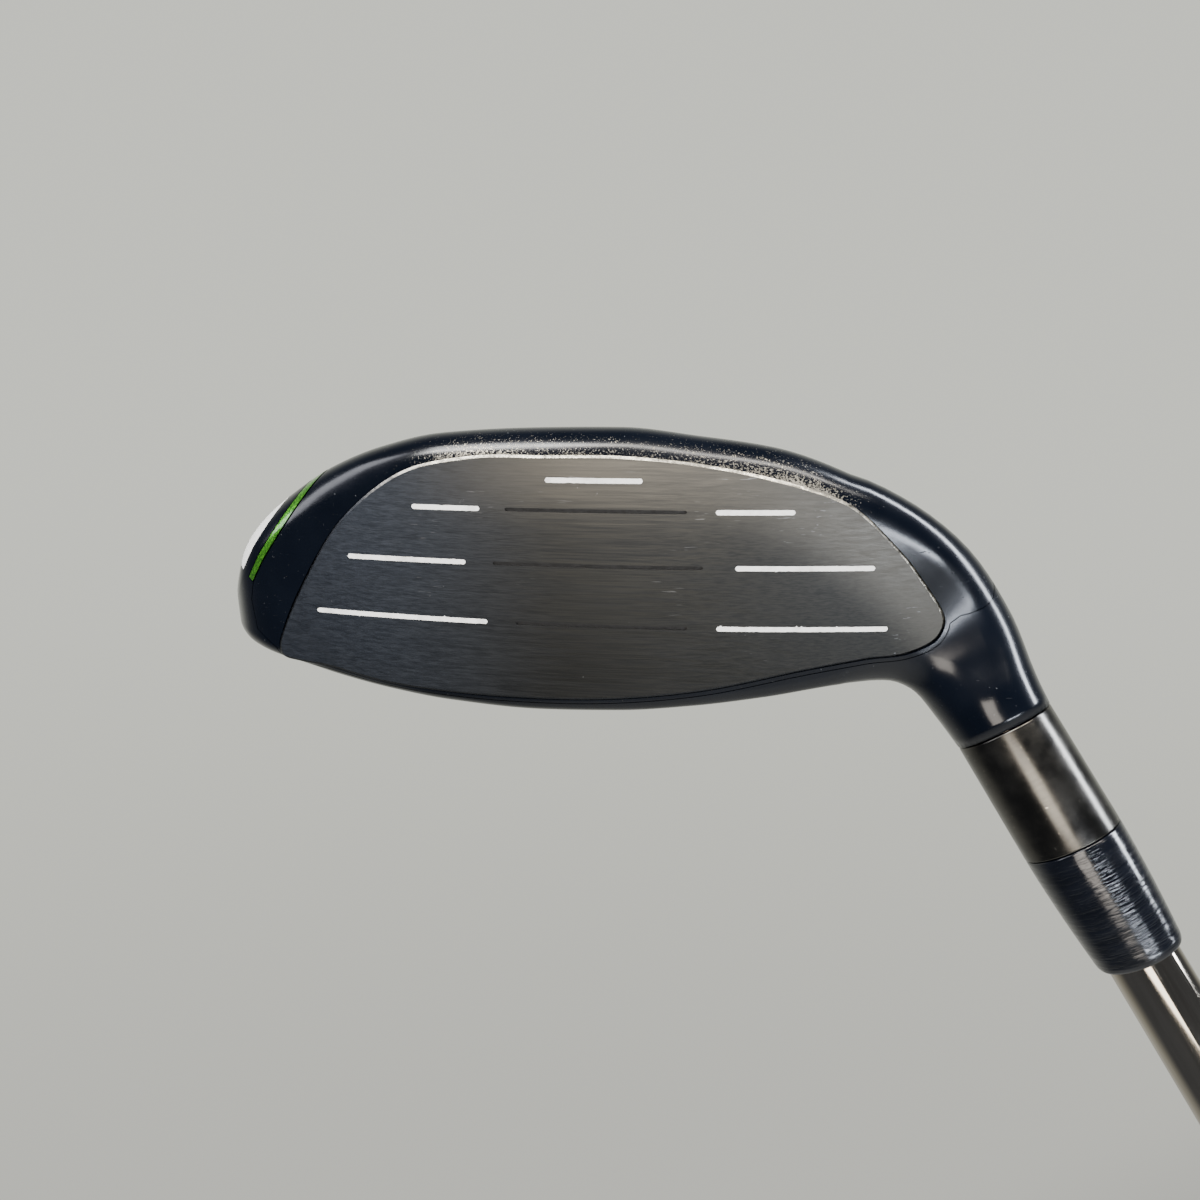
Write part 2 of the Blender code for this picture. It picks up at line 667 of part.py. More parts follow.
def build_shaft(parts, colours):
    butt = GRIP_CAP_THICKNESS + FIT_GAP
    tip = on_shaft(BORE_BOTTOM + FIT_GAP)
    outline = [(TIP_DIAMETER / 2 - EDGE_BREAK, tip), (TIP_DIAMETER / 2, tip - EDGE_BREAK)]
    for i in reversed(range(SHAFT_STEPS)):
        height = BUTT_PARALLEL + i * STEP_PITCH
        slope = 0.0012
        outline += [(shaft_radius(height + slope), height + slope), (shaft_radius(height), height)]
    outline += [(BUTT_DIAMETER / 2, butt), (BUTT_DIAMETER / 2 - SHAFT_WALL, butt),
                (BUTT_DIAMETER / 2 - SHAFT_WALL, BUTT_PARALLEL - STEP_PITCH),
                (TIP_DIAMETER / 2 - SHAFT_WALL, BUTT_PARALLEL + SHAFT_STEPS * STEP_PITCH),
                (TIP_DIAMETER / 2 - SHAFT_WALL, tip)]
    turned("shaft", outline, parts, None, colours["chrome"], steps=24)

    plug = TIP_DIAMETER / 2 - SHAFT_WALL - FIT_GAP
    end = tip - 0.001
    turned("tip_plug", [(0.0, end), (plug, end), (plug, end - 0.012), (plug - 0.0008, end - 0.018),
                        (0.0, end - 0.018)], parts, None, colours["nylon"], steps=16)

    low = GRIP_LENGTH + LABEL_GAP
    high = low + LABEL_LENGTH
    label_inner = shaft_radius(low) + FIT_GAP
    turned("shaft_label", [(label_inner + LABEL_THICKNESS, high), (label_inner + LABEL_THICKNESS, low),
                           (label_inner, low), (label_inner, high)], parts, None,
           colours["label"], steps=24)


def build_grip(parts, colours):
    shaft = BUTT_DIAMETER / 2
    start = GRIP_CAP_THICKNESS + FIT_GAP
    tape_inner, tape_outer = shaft + FIT_GAP, shaft + FIT_GAP + TAPE_THICKNESS
    tape_end = min(GRIP_LENGTH - 0.006, BUTT_PARALLEL - 0.002)
    turned("grip_tape", [(tape_outer, tape_end), (tape_outer, start + FIT_GAP),
                         (tape_inner, start + FIT_GAP), (tape_inner, tape_end)],
           parts, None, colours["tape"], steps=24)

    bore = tape_outer + FIT_GAP
    cap = GRIP_CAP_DIAMETER / 2
    outline = [(GRIP_MOUTH_DIAMETER / 2 - 0.0008, GRIP_LENGTH),
               (GRIP_MOUTH_DIAMETER / 2, GRIP_LENGTH - 0.0010)]
    body_start = start + GRIP_FLARE
    for i in range(1, 6):
        share = i / 5
        outline.append(((GRIP_MOUTH_DIAMETER + (GRIP_BUTT_DIAMETER - GRIP_MOUTH_DIAMETER)
                         * share ** 0.85) / 2, GRIP_LENGTH + (body_start - GRIP_LENGTH) * share))
    for i in range(1, 5):
        share = i / 4
        outline.append((GRIP_BUTT_DIAMETER / 2 + (cap - GRIP_BUTT_DIAMETER / 2) * share ** 2,
                        body_start + (start - body_start) * share))
    outline += [(bore, start), (bore, GRIP_LENGTH)]
    turned("grip_sleeve", outline, parts, None, colours["rubber"])

    vent = VENT_DIAMETER / 2
    top = GRIP_CAP_THICKNESS
    round_edge = 0.0022
    outline = [(cap, top)]
    for i in range(5):
        turn = i / 4 * pi / 2
        outline.append((cap - round_edge * (1 - cos(turn)), round_edge * (1 - sin(turn))))
    outline += [(vent, 0.0), (vent, top)]
    turned("grip_cap", outline, parts, None, colours["rubber"])


def main():
    clear_scene()
    parts = new_collection("hybrid_golf_club")
    cutters = new_collection("cutters")
    colours = {
        "brushed_face": new_material("brushed_face", (0.045, 0.048, 0.050), 1.0, 0.38),
        "black_gloss": new_material("black_gloss", (0.006, 0.008, 0.012), 0.0, 0.15),
        "dark_panel": new_material("dark_panel", (0.015, 0.016, 0.018), 0.3, 0.35),
        "white_panel": new_material("white_panel", (0.75, 0.76, 0.76), 0.0, 0.25),
        "green": new_material("green", (0.10, 0.42, 0.05), 0.8, 0.25),
        "gunmetal": new_material("gunmetal", (0.20, 0.19, 0.17), 1.0, 0.30),
        "chrome": new_material("chrome", (0.55, 0.54, 0.52), 1.0, 0.12),
        "steel": new_material("steel", (0.35, 0.35, 0.35), 1.0, 0.30),
        "nylon": new_material("nylon", (0.70, 0.68, 0.60), 0.0, 0.50),
        "label": new_material("label", (0.03, 0.03, 0.03), 0.0, 0.30),
        "tape": new_material("tape", (0.60, 0.55, 0.42), 0.0, 0.80),
        "rubber": new_material("rubber", (0.012, 0.012, 0.012), 0.0, 0.70),
    }
    build_head(parts, cutters, colours)
    build_hosel(parts, colours)
    build_shaft(parts, colours)
    build_grip(parts, colours)


main()
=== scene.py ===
import json
from math import atan, cos, pi, radians, sin, tan

import bmesh
import bpy
import numpy as np
from mathutils import Matrix, Vector
from mathutils.bvhtree import BVHTree
from mathutils.geometry import delaunay_2d_cdt

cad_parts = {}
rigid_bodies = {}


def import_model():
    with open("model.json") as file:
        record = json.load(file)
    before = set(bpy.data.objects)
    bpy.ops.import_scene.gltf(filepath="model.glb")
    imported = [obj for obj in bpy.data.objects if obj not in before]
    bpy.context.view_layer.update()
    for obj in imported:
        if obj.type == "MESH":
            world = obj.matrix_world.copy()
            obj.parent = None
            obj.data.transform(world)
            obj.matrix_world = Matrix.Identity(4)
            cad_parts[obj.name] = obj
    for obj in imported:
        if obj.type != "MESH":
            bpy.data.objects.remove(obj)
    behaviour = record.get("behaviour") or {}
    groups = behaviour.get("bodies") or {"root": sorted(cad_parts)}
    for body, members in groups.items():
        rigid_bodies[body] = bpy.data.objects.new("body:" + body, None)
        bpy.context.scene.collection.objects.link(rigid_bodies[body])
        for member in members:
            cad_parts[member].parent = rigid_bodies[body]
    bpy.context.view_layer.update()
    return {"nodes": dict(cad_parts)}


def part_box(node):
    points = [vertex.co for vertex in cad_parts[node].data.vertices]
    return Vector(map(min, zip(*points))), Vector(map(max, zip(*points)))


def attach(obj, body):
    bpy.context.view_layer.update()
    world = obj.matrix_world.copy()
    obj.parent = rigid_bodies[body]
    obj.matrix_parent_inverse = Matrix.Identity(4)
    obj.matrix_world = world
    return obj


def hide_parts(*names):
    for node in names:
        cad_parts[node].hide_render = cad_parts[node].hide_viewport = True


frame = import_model()
mm = 0.001

# a left-handed hybrid golf club: +Z runs up the shaft from the flat end of the grip to the head
club = {
    "length": 1.003,         # along the shaft, from the grip's end to the ground point
    "lie": radians(59.1),
    "loft": radians(21.1),
    "seam": 0.00012,         # dark line between neighbouring pieces
}
head = {
    "faceCentre": (0.0327, -0.0135, 0.01855),
    "faceBulge": 0.2355,     # heel to toe radius of the hitting face
    "faceRoll": 0.254,       # crown to sole radius of the hitting face
    "wall": 0.0019,
    "inlay": 0.0009,
    "cupDepth": 0.0115,
    "hoselTop": 0.0434,      # distance from the ground point
    "hoselDiameter": 0.0133,
    "neckFlare": 0.0004,
    "pivotHeight": 0.046,    # sections turn about this point above the heel
    "fanRadius": 0.0221,
    "sections": 116,
    # distance towards the neck, sole, crown, back and setback, in mm
    "stations": (
        (-92.4, 21.6, 25.2, 13.5, 11.0), (-91.5, 19.4, 27.0, 17.0, 7.0), (-89.6, 17.0, 28.4, 20.5, 3.6),
        (-86.8, 13.8, 29.9, 24.0, 1.4), (-83.0, 10.9, 31.3, 27.2, 0.3), (-78.0, 7.8, 32.6, 30.5, 0.0),
        (-72.0, 4.7, 34.2, 34.0, 0.0), (-64.0, 2.1, 35.9, 37.0, 0.0), (-55.0, 0.5, 37.2, 38.8, 0.0),
        (-42.0, 0.0, 38.0, 38.3, 0.0), (-30.0, -0.1, 37.7, 35.3, 0.0), (-20.0, 0.8, 36.7, 31.0, 0.0),
        (-10.0, 1.9, 35.1, 25.0, 0.0), (0.0, 4.8, 33.1, 18.5, 0.0), (3.9, 6.6, 32.7, 15.5, 0.0),
        (7.7, 8.2, 32.0, 13.0, 0.0), (11.6, 9.7, 31.0, 10.8, 0.0), (16.2, 12.0, 30.1, 8.8, 0.0)),
}
facePlate = {
    "proud": 0.00012,        # how far the milled face stands off the painted cup
    "chamfer": 0.00034,
    "step": 0.0022,          # mesh spacing
    "lineWidth": 0.00070,    # painted score lines
    "bareWidth": 0.00050,    # unpainted score lines
    "lineDepth": 0.00035,
    # across towards the toe and up towards the crown, in mm
    "outline": (
        (48.5, 13.75), (48.3, 16.1), (45.8, 16.7), (40.5, 17.1), (32.55, 18.6), (24.8, 19.3),
        (14.3, 19.6), (0.0, 19.24), (-13.8, 17.55), (-27.1, 14.45), (-36.0, 12.7), (-40.95, 12.1),
        (-44.9, 10.1), (-45.85, 7.0), (-43.2, 2.6), (-39.2, -2.4), (-32.5, -8.4), (-23.4, -11.6),
        (-13.2, -13.65), (-3.0, -14.6), (7.6, -14.6), (17.1, -14.35), (27.2, -12.0), (36.7, -5.0),
        (44.0, 5.2)),
    # height, toe end, heel end, painted
    "lines": (
        (-11.4, 6.97, -5.95, True),
        (-7.4, 25.7, 16.0, True), (-7.4, 12.5, -11.7, False), (-7.4, -15.4, -25.6, True),
        (0.0, 35.8, 18.25, True), (0.0, 14.4, -13.9, False), (0.0, -18.1, -36.2, True),
        (8.35, 41.5, 15.5, True), (8.35, 11.4, -11.9, False), (8.35, -15.8, -38.4, True)),
}
screw = {"place": (0.043, 0.0215), "diameter": 0.0125, "height": 0.0034, "sink": 0.0004,
         "drive": 0.0022, "driveDepth": 0.0018, "boss": 0.0165, "shank": 0.0031}
toeInlay = {
    "accent": 0.0011,        # width of the green line outwards from the toe seam
    "badgeStart": 0.0026,
    "badgeEnd": 0.0120,
    "depth": 0.0230,
    # where the face cup ends round the lower toe, sole to crown, in mm across and up the face
    "seam": ((34.6, -17.6), (37.4, -14.2), (39.6, -11.4), (45.4, -4.0), (49.7, 1.5), (52.2, 5.2),
             (53.0, 8.0)),
}
grip = {"mouth": 0.0192, "butt": 0.0272, "flare": 0.014, "padsAround": 24, "padRows": 62,
        "padSize": 0.00105, "padHeight": 0.00030, "vent": 0.0032}
shaft = {"tip": 0.0094, "butt": 0.01524, "wall": 0.0006, "steps": 14, "pitch": 0.038,
         "firstStep": 0.240, "stepRise": 0.0012}

lie, loft = club["lie"], club["loft"]
fullTurn = 2 * pi


def fromHead(x, y, z):  # head at address (+X toe, +Y back, +Z crown) to the club's own frame
    return Vector((-x * sin(lie) - z * cos(lie), y, club["length"] + x * cos(lie) - z * sin(lie)))


def turnFromHead(x, y, z):
    return (fromHead(x, y, z) - fromHead(0, 0, 0)).normalized()


# camera
camera = bpy.data.objects.new("camera", bpy.data.cameras.new("camera"))
bpy.context.scene.collection.objects.link(camera)
bpy.context.scene.camera = camera
camera.data.sensor_width = 36
camera.data.lens = 30.244
camera.data.clip_start, camera.data.clip_end = 0.002, 60
look = turnFromHead(0.13764, 0.98606, -0.09345)
upward = turnFromHead(0.02911, -0.09833, -0.99473)
sideways = look.cross(upward).normalized()
cameraPlace = fromHead(0.013840, -0.145147, 0.035509)
cameraTurn = Matrix((sideways, upward, -look)).transposed().to_4x4()
camera.matrix_world = Matrix.Translation(cameraPlace) @ cameraTurn
headCentre = fromHead(0.030, 0.005, 0.020)
print("camera ready")


# materials

def linear(code):
    channels = [int(code[i:i + 2], 16) / 255 for i in (0, 2, 4)]
    return (*(c / 12.92 if c <= 0.04045 else ((c + 0.055) / 1.055) ** 2.4 for c in channels), 1.0)


def connect(node, inputs):
    for key, value in inputs.items():
        if isinstance(value, bpy.types.NodeSocket):
            node.id_data.links.new(value, node.inputs[key])
        else:
            node.inputs[key].default_value = value


def addNode(tree, kind, inputs=None, **settings):
    node = tree.nodes.new(kind)
    for key, value in settings.items():
        setattr(node, key, value)
    connect(node, inputs or {})
    return node


def treeOf(*values):
    return next(value.id_data for value in values if isinstance(value, bpy.types.NodeSocket))


def maths(operation, first, second=0.0, clamp=False):
    return addNode(treeOf(first, second), "ShaderNodeMath", {0: first, 1: second},
                   operation=operation, use_clamp=clamp).outputs[0]


def plus(first, second, clamp=False):
    return maths("ADD", first, second, clamp)


def minus(first, second):
    return maths("SUBTRACT", first, second)


def times(first, second):
    return maths("MULTIPLY", first, second)


def mixColour(share, first, second):
    first, second = (linear(colour) if isinstance(colour, str) else colour for colour in (first, second))
    return addNode(treeOf(share), "ShaderNodeMix", {0: share, 6: first, 7: second},
                   data_type="RGBA").outputs[2]


def noise(place, scale, detail=3.0, roughness=0.55, turn=0.0):
    if isinstance(scale, tuple):  # stretched by another scale along each axis
        place = addNode(treeOf(place), "ShaderNodeMapping", {
            "Vector": place, "Scale": scale, "Rotation": (0.0, turn, 0.0)}).outputs[0]
        scale = 1.0
    return addNode(treeOf(place), "ShaderNodeTexNoise", {
        "Vector": place, "Scale": scale, "Detail": detail, "Roughness": roughness}).outputs["Fac"]


def span(value, low, high, toLow=0.0, toHigh=1.0):
    return addNode(treeOf(value), "ShaderNodeMapRange", {
        "Value": value, "From Min": low, "From Max": high, "To Min": toLow, "To Max": toHigh},
        interpolation_type="SMOOTHSTEP").outputs["Result"]


def tint(under, over, value, low, high, most=1.0):  # over shows as value goes from low to high
    return mixColour(span(value, low, high, 0.0, most), under, over)


def bump(height, distance):
    return addNode(treeOf(height), "ShaderNodeBump",
                   {"Height": height, "Distance": distance, "Strength": 1.0}).outputs[0]


def startMaterial(name, onHead=False):
    material = bpy.data.materials.new(name)
    material.use_nodes = True
    tree = material.node_tree
    place = addNode(tree, "ShaderNodeTexCoord").outputs["Object"]
    if onHead:  # back to the head at address
        place = addNode(tree, "ShaderNodeMapping", {
            "Vector": place, "Location": (0, 0, club["length"]), "Rotation": (0, -(pi / 2 + lie), 0)},
            vector_type="TEXTURE").outputs[0]
    return material, place


def dressed(material, colour, rough, relief, depth, metal=0.0, more=None):
    connect(material.node_tree.nodes["Principled BSDF"], {
        "Base Color": colour, "Roughness": rough, "Metallic": metal, "Normal": bump(relief, depth),
        **(more or {})})
    return material


def axes(place):
    return addNode(treeOf(place), "ShaderNodeSeparateXYZ", {0: place}).outputs


def attribute(material, name):
    return addNode(material.node_tree, "ShaderNodeAttribute", attribute_name=name).outputs["Fac"]


# milled stainless steel with a dark plated finish: fine heel to toe brushing under smoky patches
def milledFace():
    material, place = startMaterial("brushed_dark_steel", True)
    fine = noise(place, (90, 6500, 6500), 2.0, 0.7)
    broad = noise(place, (30, 2400, 2400), 3.0, 0.65)
    smoke = noise(place, (38, 60, 75), 4.0, 0.55)
    scuffs = noise(place, (150, 3600, 3600), 2.0, 0.6, radians(24))
    crossed = noise(place, (150, 3600, 3600), 2.0, 0.6, radians(-38))
    flecks = noise(place, 900.0, 3.0, 0.6)
    x, _, z = axes(place)
    # painted shade: lighter, bluer steel at the toe end, darker towards the heel
    paintedHeelShade = span(x, 0.068, 0.036)
    # height above the sole's edge of the face, which curves up towards the heel
    past = maths("MAXIMUM", minus(0.0227, x), 0.0)
    edge = times(times(past, past), 15.5)
    above = minus(minus(z, 0.0049), edge)
    # lighter near the sole edge towards the heel: partly wear, partly painted sheen
    wearAndSheen = times(span(above, 0.0105, 0.0008), span(x, 0.066, 0.040))
    colour = mixColour(paintedHeelShade, "565c66", "3a3a38")
    colour = tint(colour, "474745", smoke, 0.36, 0.70, 0.12)
    streaks = times(span(broad, 0.30, 0.72), 0.22)
    colour = mixColour(streaks, colour, "3c3d40")
    grain = times(span(fine, 0.34, 0.70), 0.50)
    colour = mixColour(grain, colour, "26282b")
    colour = mixColour(times(wearAndSheen, 0.40), colour, "74716a")
    lines = plus(span(scuffs, 0.665, 0.73), span(crossed, 0.68, 0.74), True)
    inPatch = times(lines, span(noise(place, 80.0), 0.54, 0.66))
    colour = mixColour(times(inPatch, 0.45), colour, "8b8c8e")
    colour = tint(colour, "8d8e90", flecks, 0.74, 0.78, 0.4)
    rough = plus(span(broad, 0.3, 0.7, 0.34, 0.46), times(fine, 0.10))
    height = plus(fine, times(broad, 0.4))
    return dressed(material, colour, rough, height, 0.0000045, 1.0)


# bare steel on the face's chamfer: dark like the face elsewhere, bright, pitted and streaky where the mask
# marks edge wear together with a painted highlight on the sole side towards the heel
def bareEdge():
    material, place = startMaterial("bare_steel_wear_and_glint", True)
    wearAndSheen = attribute(material, "rubAndGlint")
    pits = noise(place, 2600.0, 3.0, 0.7)
    rubAndGlint = noise(place, (120, 900, 900), 3.0)
    colour = tint("6b6860", "c9c3b4", rubAndGlint, 0.36, 0.66)
    colour = tint(colour, "3a3936", pits, 0.56, 0.68, 0.8)
    # bright metal where the mask is set: rubbed edge and painted highlight
    colour = mixColour(wearAndSheen, "3c3e42", colour)
    return dressed(material, colour, span(pits, 0.3, 0.7, 0.24, 0.46), pits, 0.00002, 1.0)


# gloss black enamel over steel: deep mirror-like black with fine hairlines, dust and chipped specks
def blackEnamel(name, worn):
    material, place = startMaterial(name, True)
    peel = noise(place, 420.0, 2.0, 0.5)
    dust = noise(place, 2300.0, 2.0, 0.5)
    hair = noise(place, (90, 2100, 2100), 2.0, 0.6, radians(17))
    hazy = noise(place, 60.0, 3.0, 0.6)
    colour = tint("02050d", "050912", hazy, 0.35, 0.7)
    colour = tint(colour, "6f7274", dust, 0.735, 0.765, 0.35)
    rough = plus(span(hazy, 0.3, 0.7, 0.15, 0.23), span(hair, 0.68, 0.74, 0.0, 0.16))
    metal = 0.0
    height = plus(peel, span(hair, 0.68, 0.74, 0.0, -0.05))
    if worn:  # speckled rub-through that thickens towards the face's edge
        near = attribute(material, "edge")
        grainy = noise(place, 3800.0, 3.0, 0.72)
        patches = noise(place, (60, 190, 190), 3.0)
        x = axes(place)[0]
        middle = times(span(x, 0.068, 0.054), span(x, -0.006, 0.006))
        near = times(near, middle)
        reach = times(near, span(patches, 0.30, 0.66, 0.55, 1.0))
        wornThrough = span(plus(grainy, times(reach, 0.34)), 0.70, 0.80)
        metalColour = tint("5d5a53", "a39d8f", patches, 0.3, 0.7)
        colour = mixColour(wornThrough, colour, metalColour)
        metal = times(wornThrough, 0.9)
        rough = plus(rough, times(wornThrough, 0.22))
        height = minus(height, times(wornThrough, 0.5))
    return dressed(material, colour, rough, height, 0.00001, metal, {"Specular IOR Level": 0.42})


# turned steel band with a smoked finish: silky rings round the shaft
def gunmetalBand():
    material, place = startMaterial("turned_gunmetal_steel")
    rings = noise(place, (90, 90, 9000), 3.0, 0.7)
    mottled = noise(place, 230.0, 4.0, 0.6)
    specks = noise(place, 2600.0, 2.0, 0.5)
    colour = tint("494845", "5c5a55", mottled, 0.3, 0.7)
    colour = tint(colour, "454442", rings, 0.35, 0.7, 0.4)
    colour = tint(colour, "cfc8ba", specks, 0.72, 0.76, 0.5)
    return dressed(material, colour, span(mottled, 0.3, 0.7, 0.19, 0.27), rings, 0.000004, 1.0)


# black acetate ferrule, hand sanded and wiped with solvent: wet gloss broken by fine rings
def ferruleAcetate():
    material, place = startMaterial("black_acetate")
    rings = noise(place, (170, 170, 2300), 3.0, 0.65)
    waves = noise(place, (240, 240, 620), 2.0, 0.5)
    colour = tint("04060c", "090c13", waves, 0.3, 0.7)
    height = plus(rings, times(waves, 1.2))
    return dressed(material, colour, span(rings, 0.3, 0.7, 0.10, 0.24), height, 0.000085,
                   more={"Coat Weight": 0.25, "Coat Roughness": 0.05})


# polished chrome over steel: a clear mirror with faint smears and hairlines along the tube
def chromePlate():
    material, place = startMaterial("chrome_plated_steel")
    smears = noise(place, (420, 420, 35), 3.0, 0.6)
    hair = noise(place, (3800, 3800, 60), 2.0, 0.6)
    colour = tint("9d968a", "b5aea2", smears, 0.3, 0.7)
    rough = plus(span(smears, 0.3, 0.7, 0.05, 0.12), span(hair, 0.66, 0.72, 0.0, 0.10))
    return dressed(material, colour, rough, hair, 0.0000012, 1.0)


# moulded grip rubber: matt black, slightly dusty, with a fine moulded tooth
def gripRubber(name, code):
    material, place = startMaterial(name)
    tooth = noise(place, 2600.0, 3.0, 0.6)
    dusty = noise(place, (55, 55, 14), 4.0, 0.6)
    colour = tint(code, "3a3a39", dusty, 0.42, 0.72, 0.5)
    return dressed(material, colour, span(dusty, 0.3, 0.7, 0.58, 0.78), tooth, 0.00004,
                   more={"Specular IOR Level": 0.35})


# metallic paint under clear lacquer: bright green flakes
def greenFlake():
    material, place = startMaterial("green_metallic_paint", True)
    flake = noise(place, 5200.0, 2.0, 0.8)
    drift = noise(place, 160.0, 2.0, 0.5)
    colour = tint("1c5a0d", "62b82c", flake, 0.4, 0.65)
    colour = tint(colour, "0e2a0a", drift, 0.3, 0.7, 0.35)
    return dressed(material, colour, 0.30, flake, 0.000003, 0.7,
                   {"Coat Weight": 0.8, "Coat Roughness": 0.04})


# pad-printed white enamel, a little chalky, with ink-edge dirt
def whitePaint(name, code, grime):
    material, place = startMaterial(name, True)
    grainy = noise(place, 3100.0, 3.0, 0.6)
    smudge = noise(place, 420.0, 3.0, 0.6)
    colour = tint(code, "8f8d88", smudge, 0.45, 0.75, grime)
    colour = tint(colour, "6d6c69", grainy, 0.66, 0.74, grime)
    return dressed(material, colour, span(grainy, 0.3, 0.7, 0.35, 0.55), grainy, 0.00002)


# moulded glass-filled nylon panel: satin black with a fine leathery tooth
def satinPanel():
    material, place = startMaterial("satin_black_nylon", True)
    tooth = noise(place, 2100.0, 3.0, 0.6)
    drift = noise(place, 90.0, 3.0, 0.5)
    colour = tint("16181b", "212327", drift, 0.35, 0.7)
    return dressed(material, colour, span(tooth, 0.3, 0.7, 0.34, 0.50), tooth, 0.00003)


# turned steel screw: ring marks from the lathe and a dull drive recess
def turnedScrew():
    material, place = startMaterial("turned_steel", True)
    grain = noise(place, 1500.0, 4.0, 0.65)
    soft = noise(place, 260.0, 3.0, 0.6)
    colour = tint("8a8883", "b3b0a8", soft, 0.3, 0.7)
    colour = tint(colour, "5a5854", grain, 0.62, 0.70, 0.5)
    return dressed(material, colour, span(grain, 0.3, 0.7, 0.26, 0.42), grain, 0.00001, 1.0)


# printed polyester film: satin black ground with two plain silver rings
def labelFilm():
    material, place = startMaterial("printed_polyester_film")
    z = axes(place)[2]
    grainy = noise(place, 1800.0, 3.0, 0.6)
    low, high = (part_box("shaft_label")[i].z for i in (0, 1))
    rings = 0.0
    for centre in (low + 0.006, high - 0.006):
        away = maths("ABSOLUTE", minus(z, centre))
        rings = plus(rings, span(away, 0.00165, 0.00150), True)
    colour = mixColour(rings, "17181a", "b9bcc0")
    colour = tint(colour, "3a3b3d", grainy, 0.6, 0.75, 0.35)
    return dressed(material, colour, span(grainy, 0.3, 0.7, 0.22, 0.36), grainy, 0.00001,
                   times(rings, 0.8))


# unpainted hidden parts: a matt body colour with moulding grain
def plainMatt(name, code, dark):
    material, place = startMaterial(name)
    grainy = noise(place, 1400.0, 4.0, 0.6)
    colour = tint(code, dark, grainy, 0.35, 0.7)
    return dressed(material, colour, span(grainy, 0.3, 0.7, 0.5, 0.75), grainy, 0.00003)


looks = {
    "face": milledFace(),
    "bare": bareEdge(),
    "enamel": blackEnamel("gloss_black_enamel", False),
    "wornEnamel": blackEnamel("worn_black_enamel", True),
    "band": gunmetalBand(),
    "ferrule": ferruleAcetate(),
    "chrome": chromePlate(),
    "rubber": gripRubber("grip_rubber", "141414"),
    "capRubber": gripRubber("cap_rubber", "0f0f10"),
    "green": greenFlake(),
    "badge": whitePaint("white_lacquer", "e4e5e4", 0.15),
    "linePaint": whitePaint("line_enamel", "fbfbf8", 0.35),
    "panel": satinPanel(),
    "screw": turnedScrew(),
    "label": labelFilm(),
    # near-black matt for the score-line groove floors and walls: painted shade
    "groove": plainMatt("painted_groove_shade", "121214", "1f1e1c"),
    "nylon": plainMatt("natural_nylon", "cfc9b6", "b9b29c"),
    "tape": plainMatt("masking_tape", "c8b98c", "a8986c"),
    "seal": plainMatt("nitrile_rubber", "121212", "1c1c1c"),
}
print("materials ready")


# the head's surface as sections from toe to neck

def stationTable():
    rows = [tuple(value * mm for value in row) for row in head["stations"]]
    centre = head["pivotHeight"] - head["pivotHeight"] * cos(lie)
    fanEnd = head["fanRadius"] * lie
    top = fanEnd + head["hoselTop"] - head["pivotHeight"] * sin(lie)
    hosel = head["hoselDiameter"] / 2
    for distance, radius in ((fanEnd, hosel + head["neckFlare"]), (top, hosel)):
        rows.append((distance, centre - radius, centre + radius, radius, 0.0))
    return np.array(rows)


table = stationTable()


def smooth(xs, ys, x):
    steps = np.diff(xs)
    slopes = np.diff(ys) / steps
    tangents = np.zeros(len(xs))
    tangents[0], tangents[-1] = slopes[0], slopes[-1]
    for i in range(1, len(xs) - 1):
        if slopes[i - 1] * slopes[i] > 0:
            before, after = 2 * steps[i] + steps[i - 1], steps[i] + 2 * steps[i - 1]
            tangents[i] = (before + after) / (before / slopes[i - 1] + after / slopes[i])
    i = int(np.clip(np.searchsorted(xs, x) - 1, 0, len(steps) - 1))
    t = (x - xs[i]) / steps[i]
    return (ys[i] * (1 + 2 * t) * (1 - t) ** 2 + ys[i + 1] * t * t * (3 - 2 * t)
            + steps[i] * (tangents[i] * t * (1 - t) ** 2 - tangents[i + 1] * t * t * (1 - t)))


def ramp(value, low, high):
    t = min(max((value - low) / (high - low), 0.0), 1.0)
    return t * t * (3 - 2 * t)


def faceY(x, z):
    across = x - head["faceCentre"][0]
    up = (z - head["faceCentre"][2]) / cos(loft)
    hollow = across ** 2 / (2 * head["faceBulge"]) + up ** 2 / (2 * head["faceRoll"])
    return head["faceCentre"][1] + (z - head["faceCentre"][2]) * tan(loft) + hollow / cos(loft)


def facePoint(across, up, out=0.0):
    hollow = across ** 2 / (2 * head["faceBulge"]) + up ** 2 / (2 * head["faceRoll"]) - out
    x, y, z = head["faceCentre"]
    return (x + across, y + up * sin(loft) + hollow * cos(loft),
            z + up * cos(loft) - hollow * sin(loft))


def placeOnStation(distance, y, height):
    fanEnd = head["fanRadius"] * lie
    angle = min(max(distance, 0.0) / head["fanRadius"], lie)
    reach = head["pivotHeight"] - height
    along = max(distance - fanEnd, 0.0)
    x = -min(distance, 0.0) - reach * sin(angle) - along * cos(lie)
    z = head["pivotHeight"] - reach * cos(angle) + along * sin(lie)
    return x, y, z


def sectionCorners(distance, inset):
    sole, crown, back, setback = (smooth(table[:, 0], table[:, i], distance) for i in range(1, 5))
    neck = ramp(distance, 0.008, head["fanRadius"] * lie)
    radius = smooth(table[:, 0], table[:, 3], max(distance, head["fanRadius"] * lie))
    tall = crown - sole

    def front(height):
        x, _, z = placeOnStation(distance, 0.0, height)
        return (1 - neck) * (faceY(x, z) + setback) - neck * radius

    openEnd = 1 - neck
    corners = [(front(crown), crown), (front(sole), sole),
               (back - 0.003 * openEnd * min(tall / 0.03, 1.0), sole + 0.20 * tall * openEnd),
               (back, crown - 0.32 * tall * openEnd)]
    trims = [(1 - neck) * size + neck * radius for size in (0.0018, 0.0062, 0.010, 0.010)]
    trims[0] += 0.0035 * ramp(distance, -0.004, 0.012) * openEnd
    bulges = [0.018 * openEnd, 0.045 * openEnd, 0.07 * openEnd, 0.055 * openEnd]
    if inset:
        corners = insetCorners(corners, inset)
        trims = [max(trim - inset, 0.001) for trim in trims]
    return corners, trims, bulges


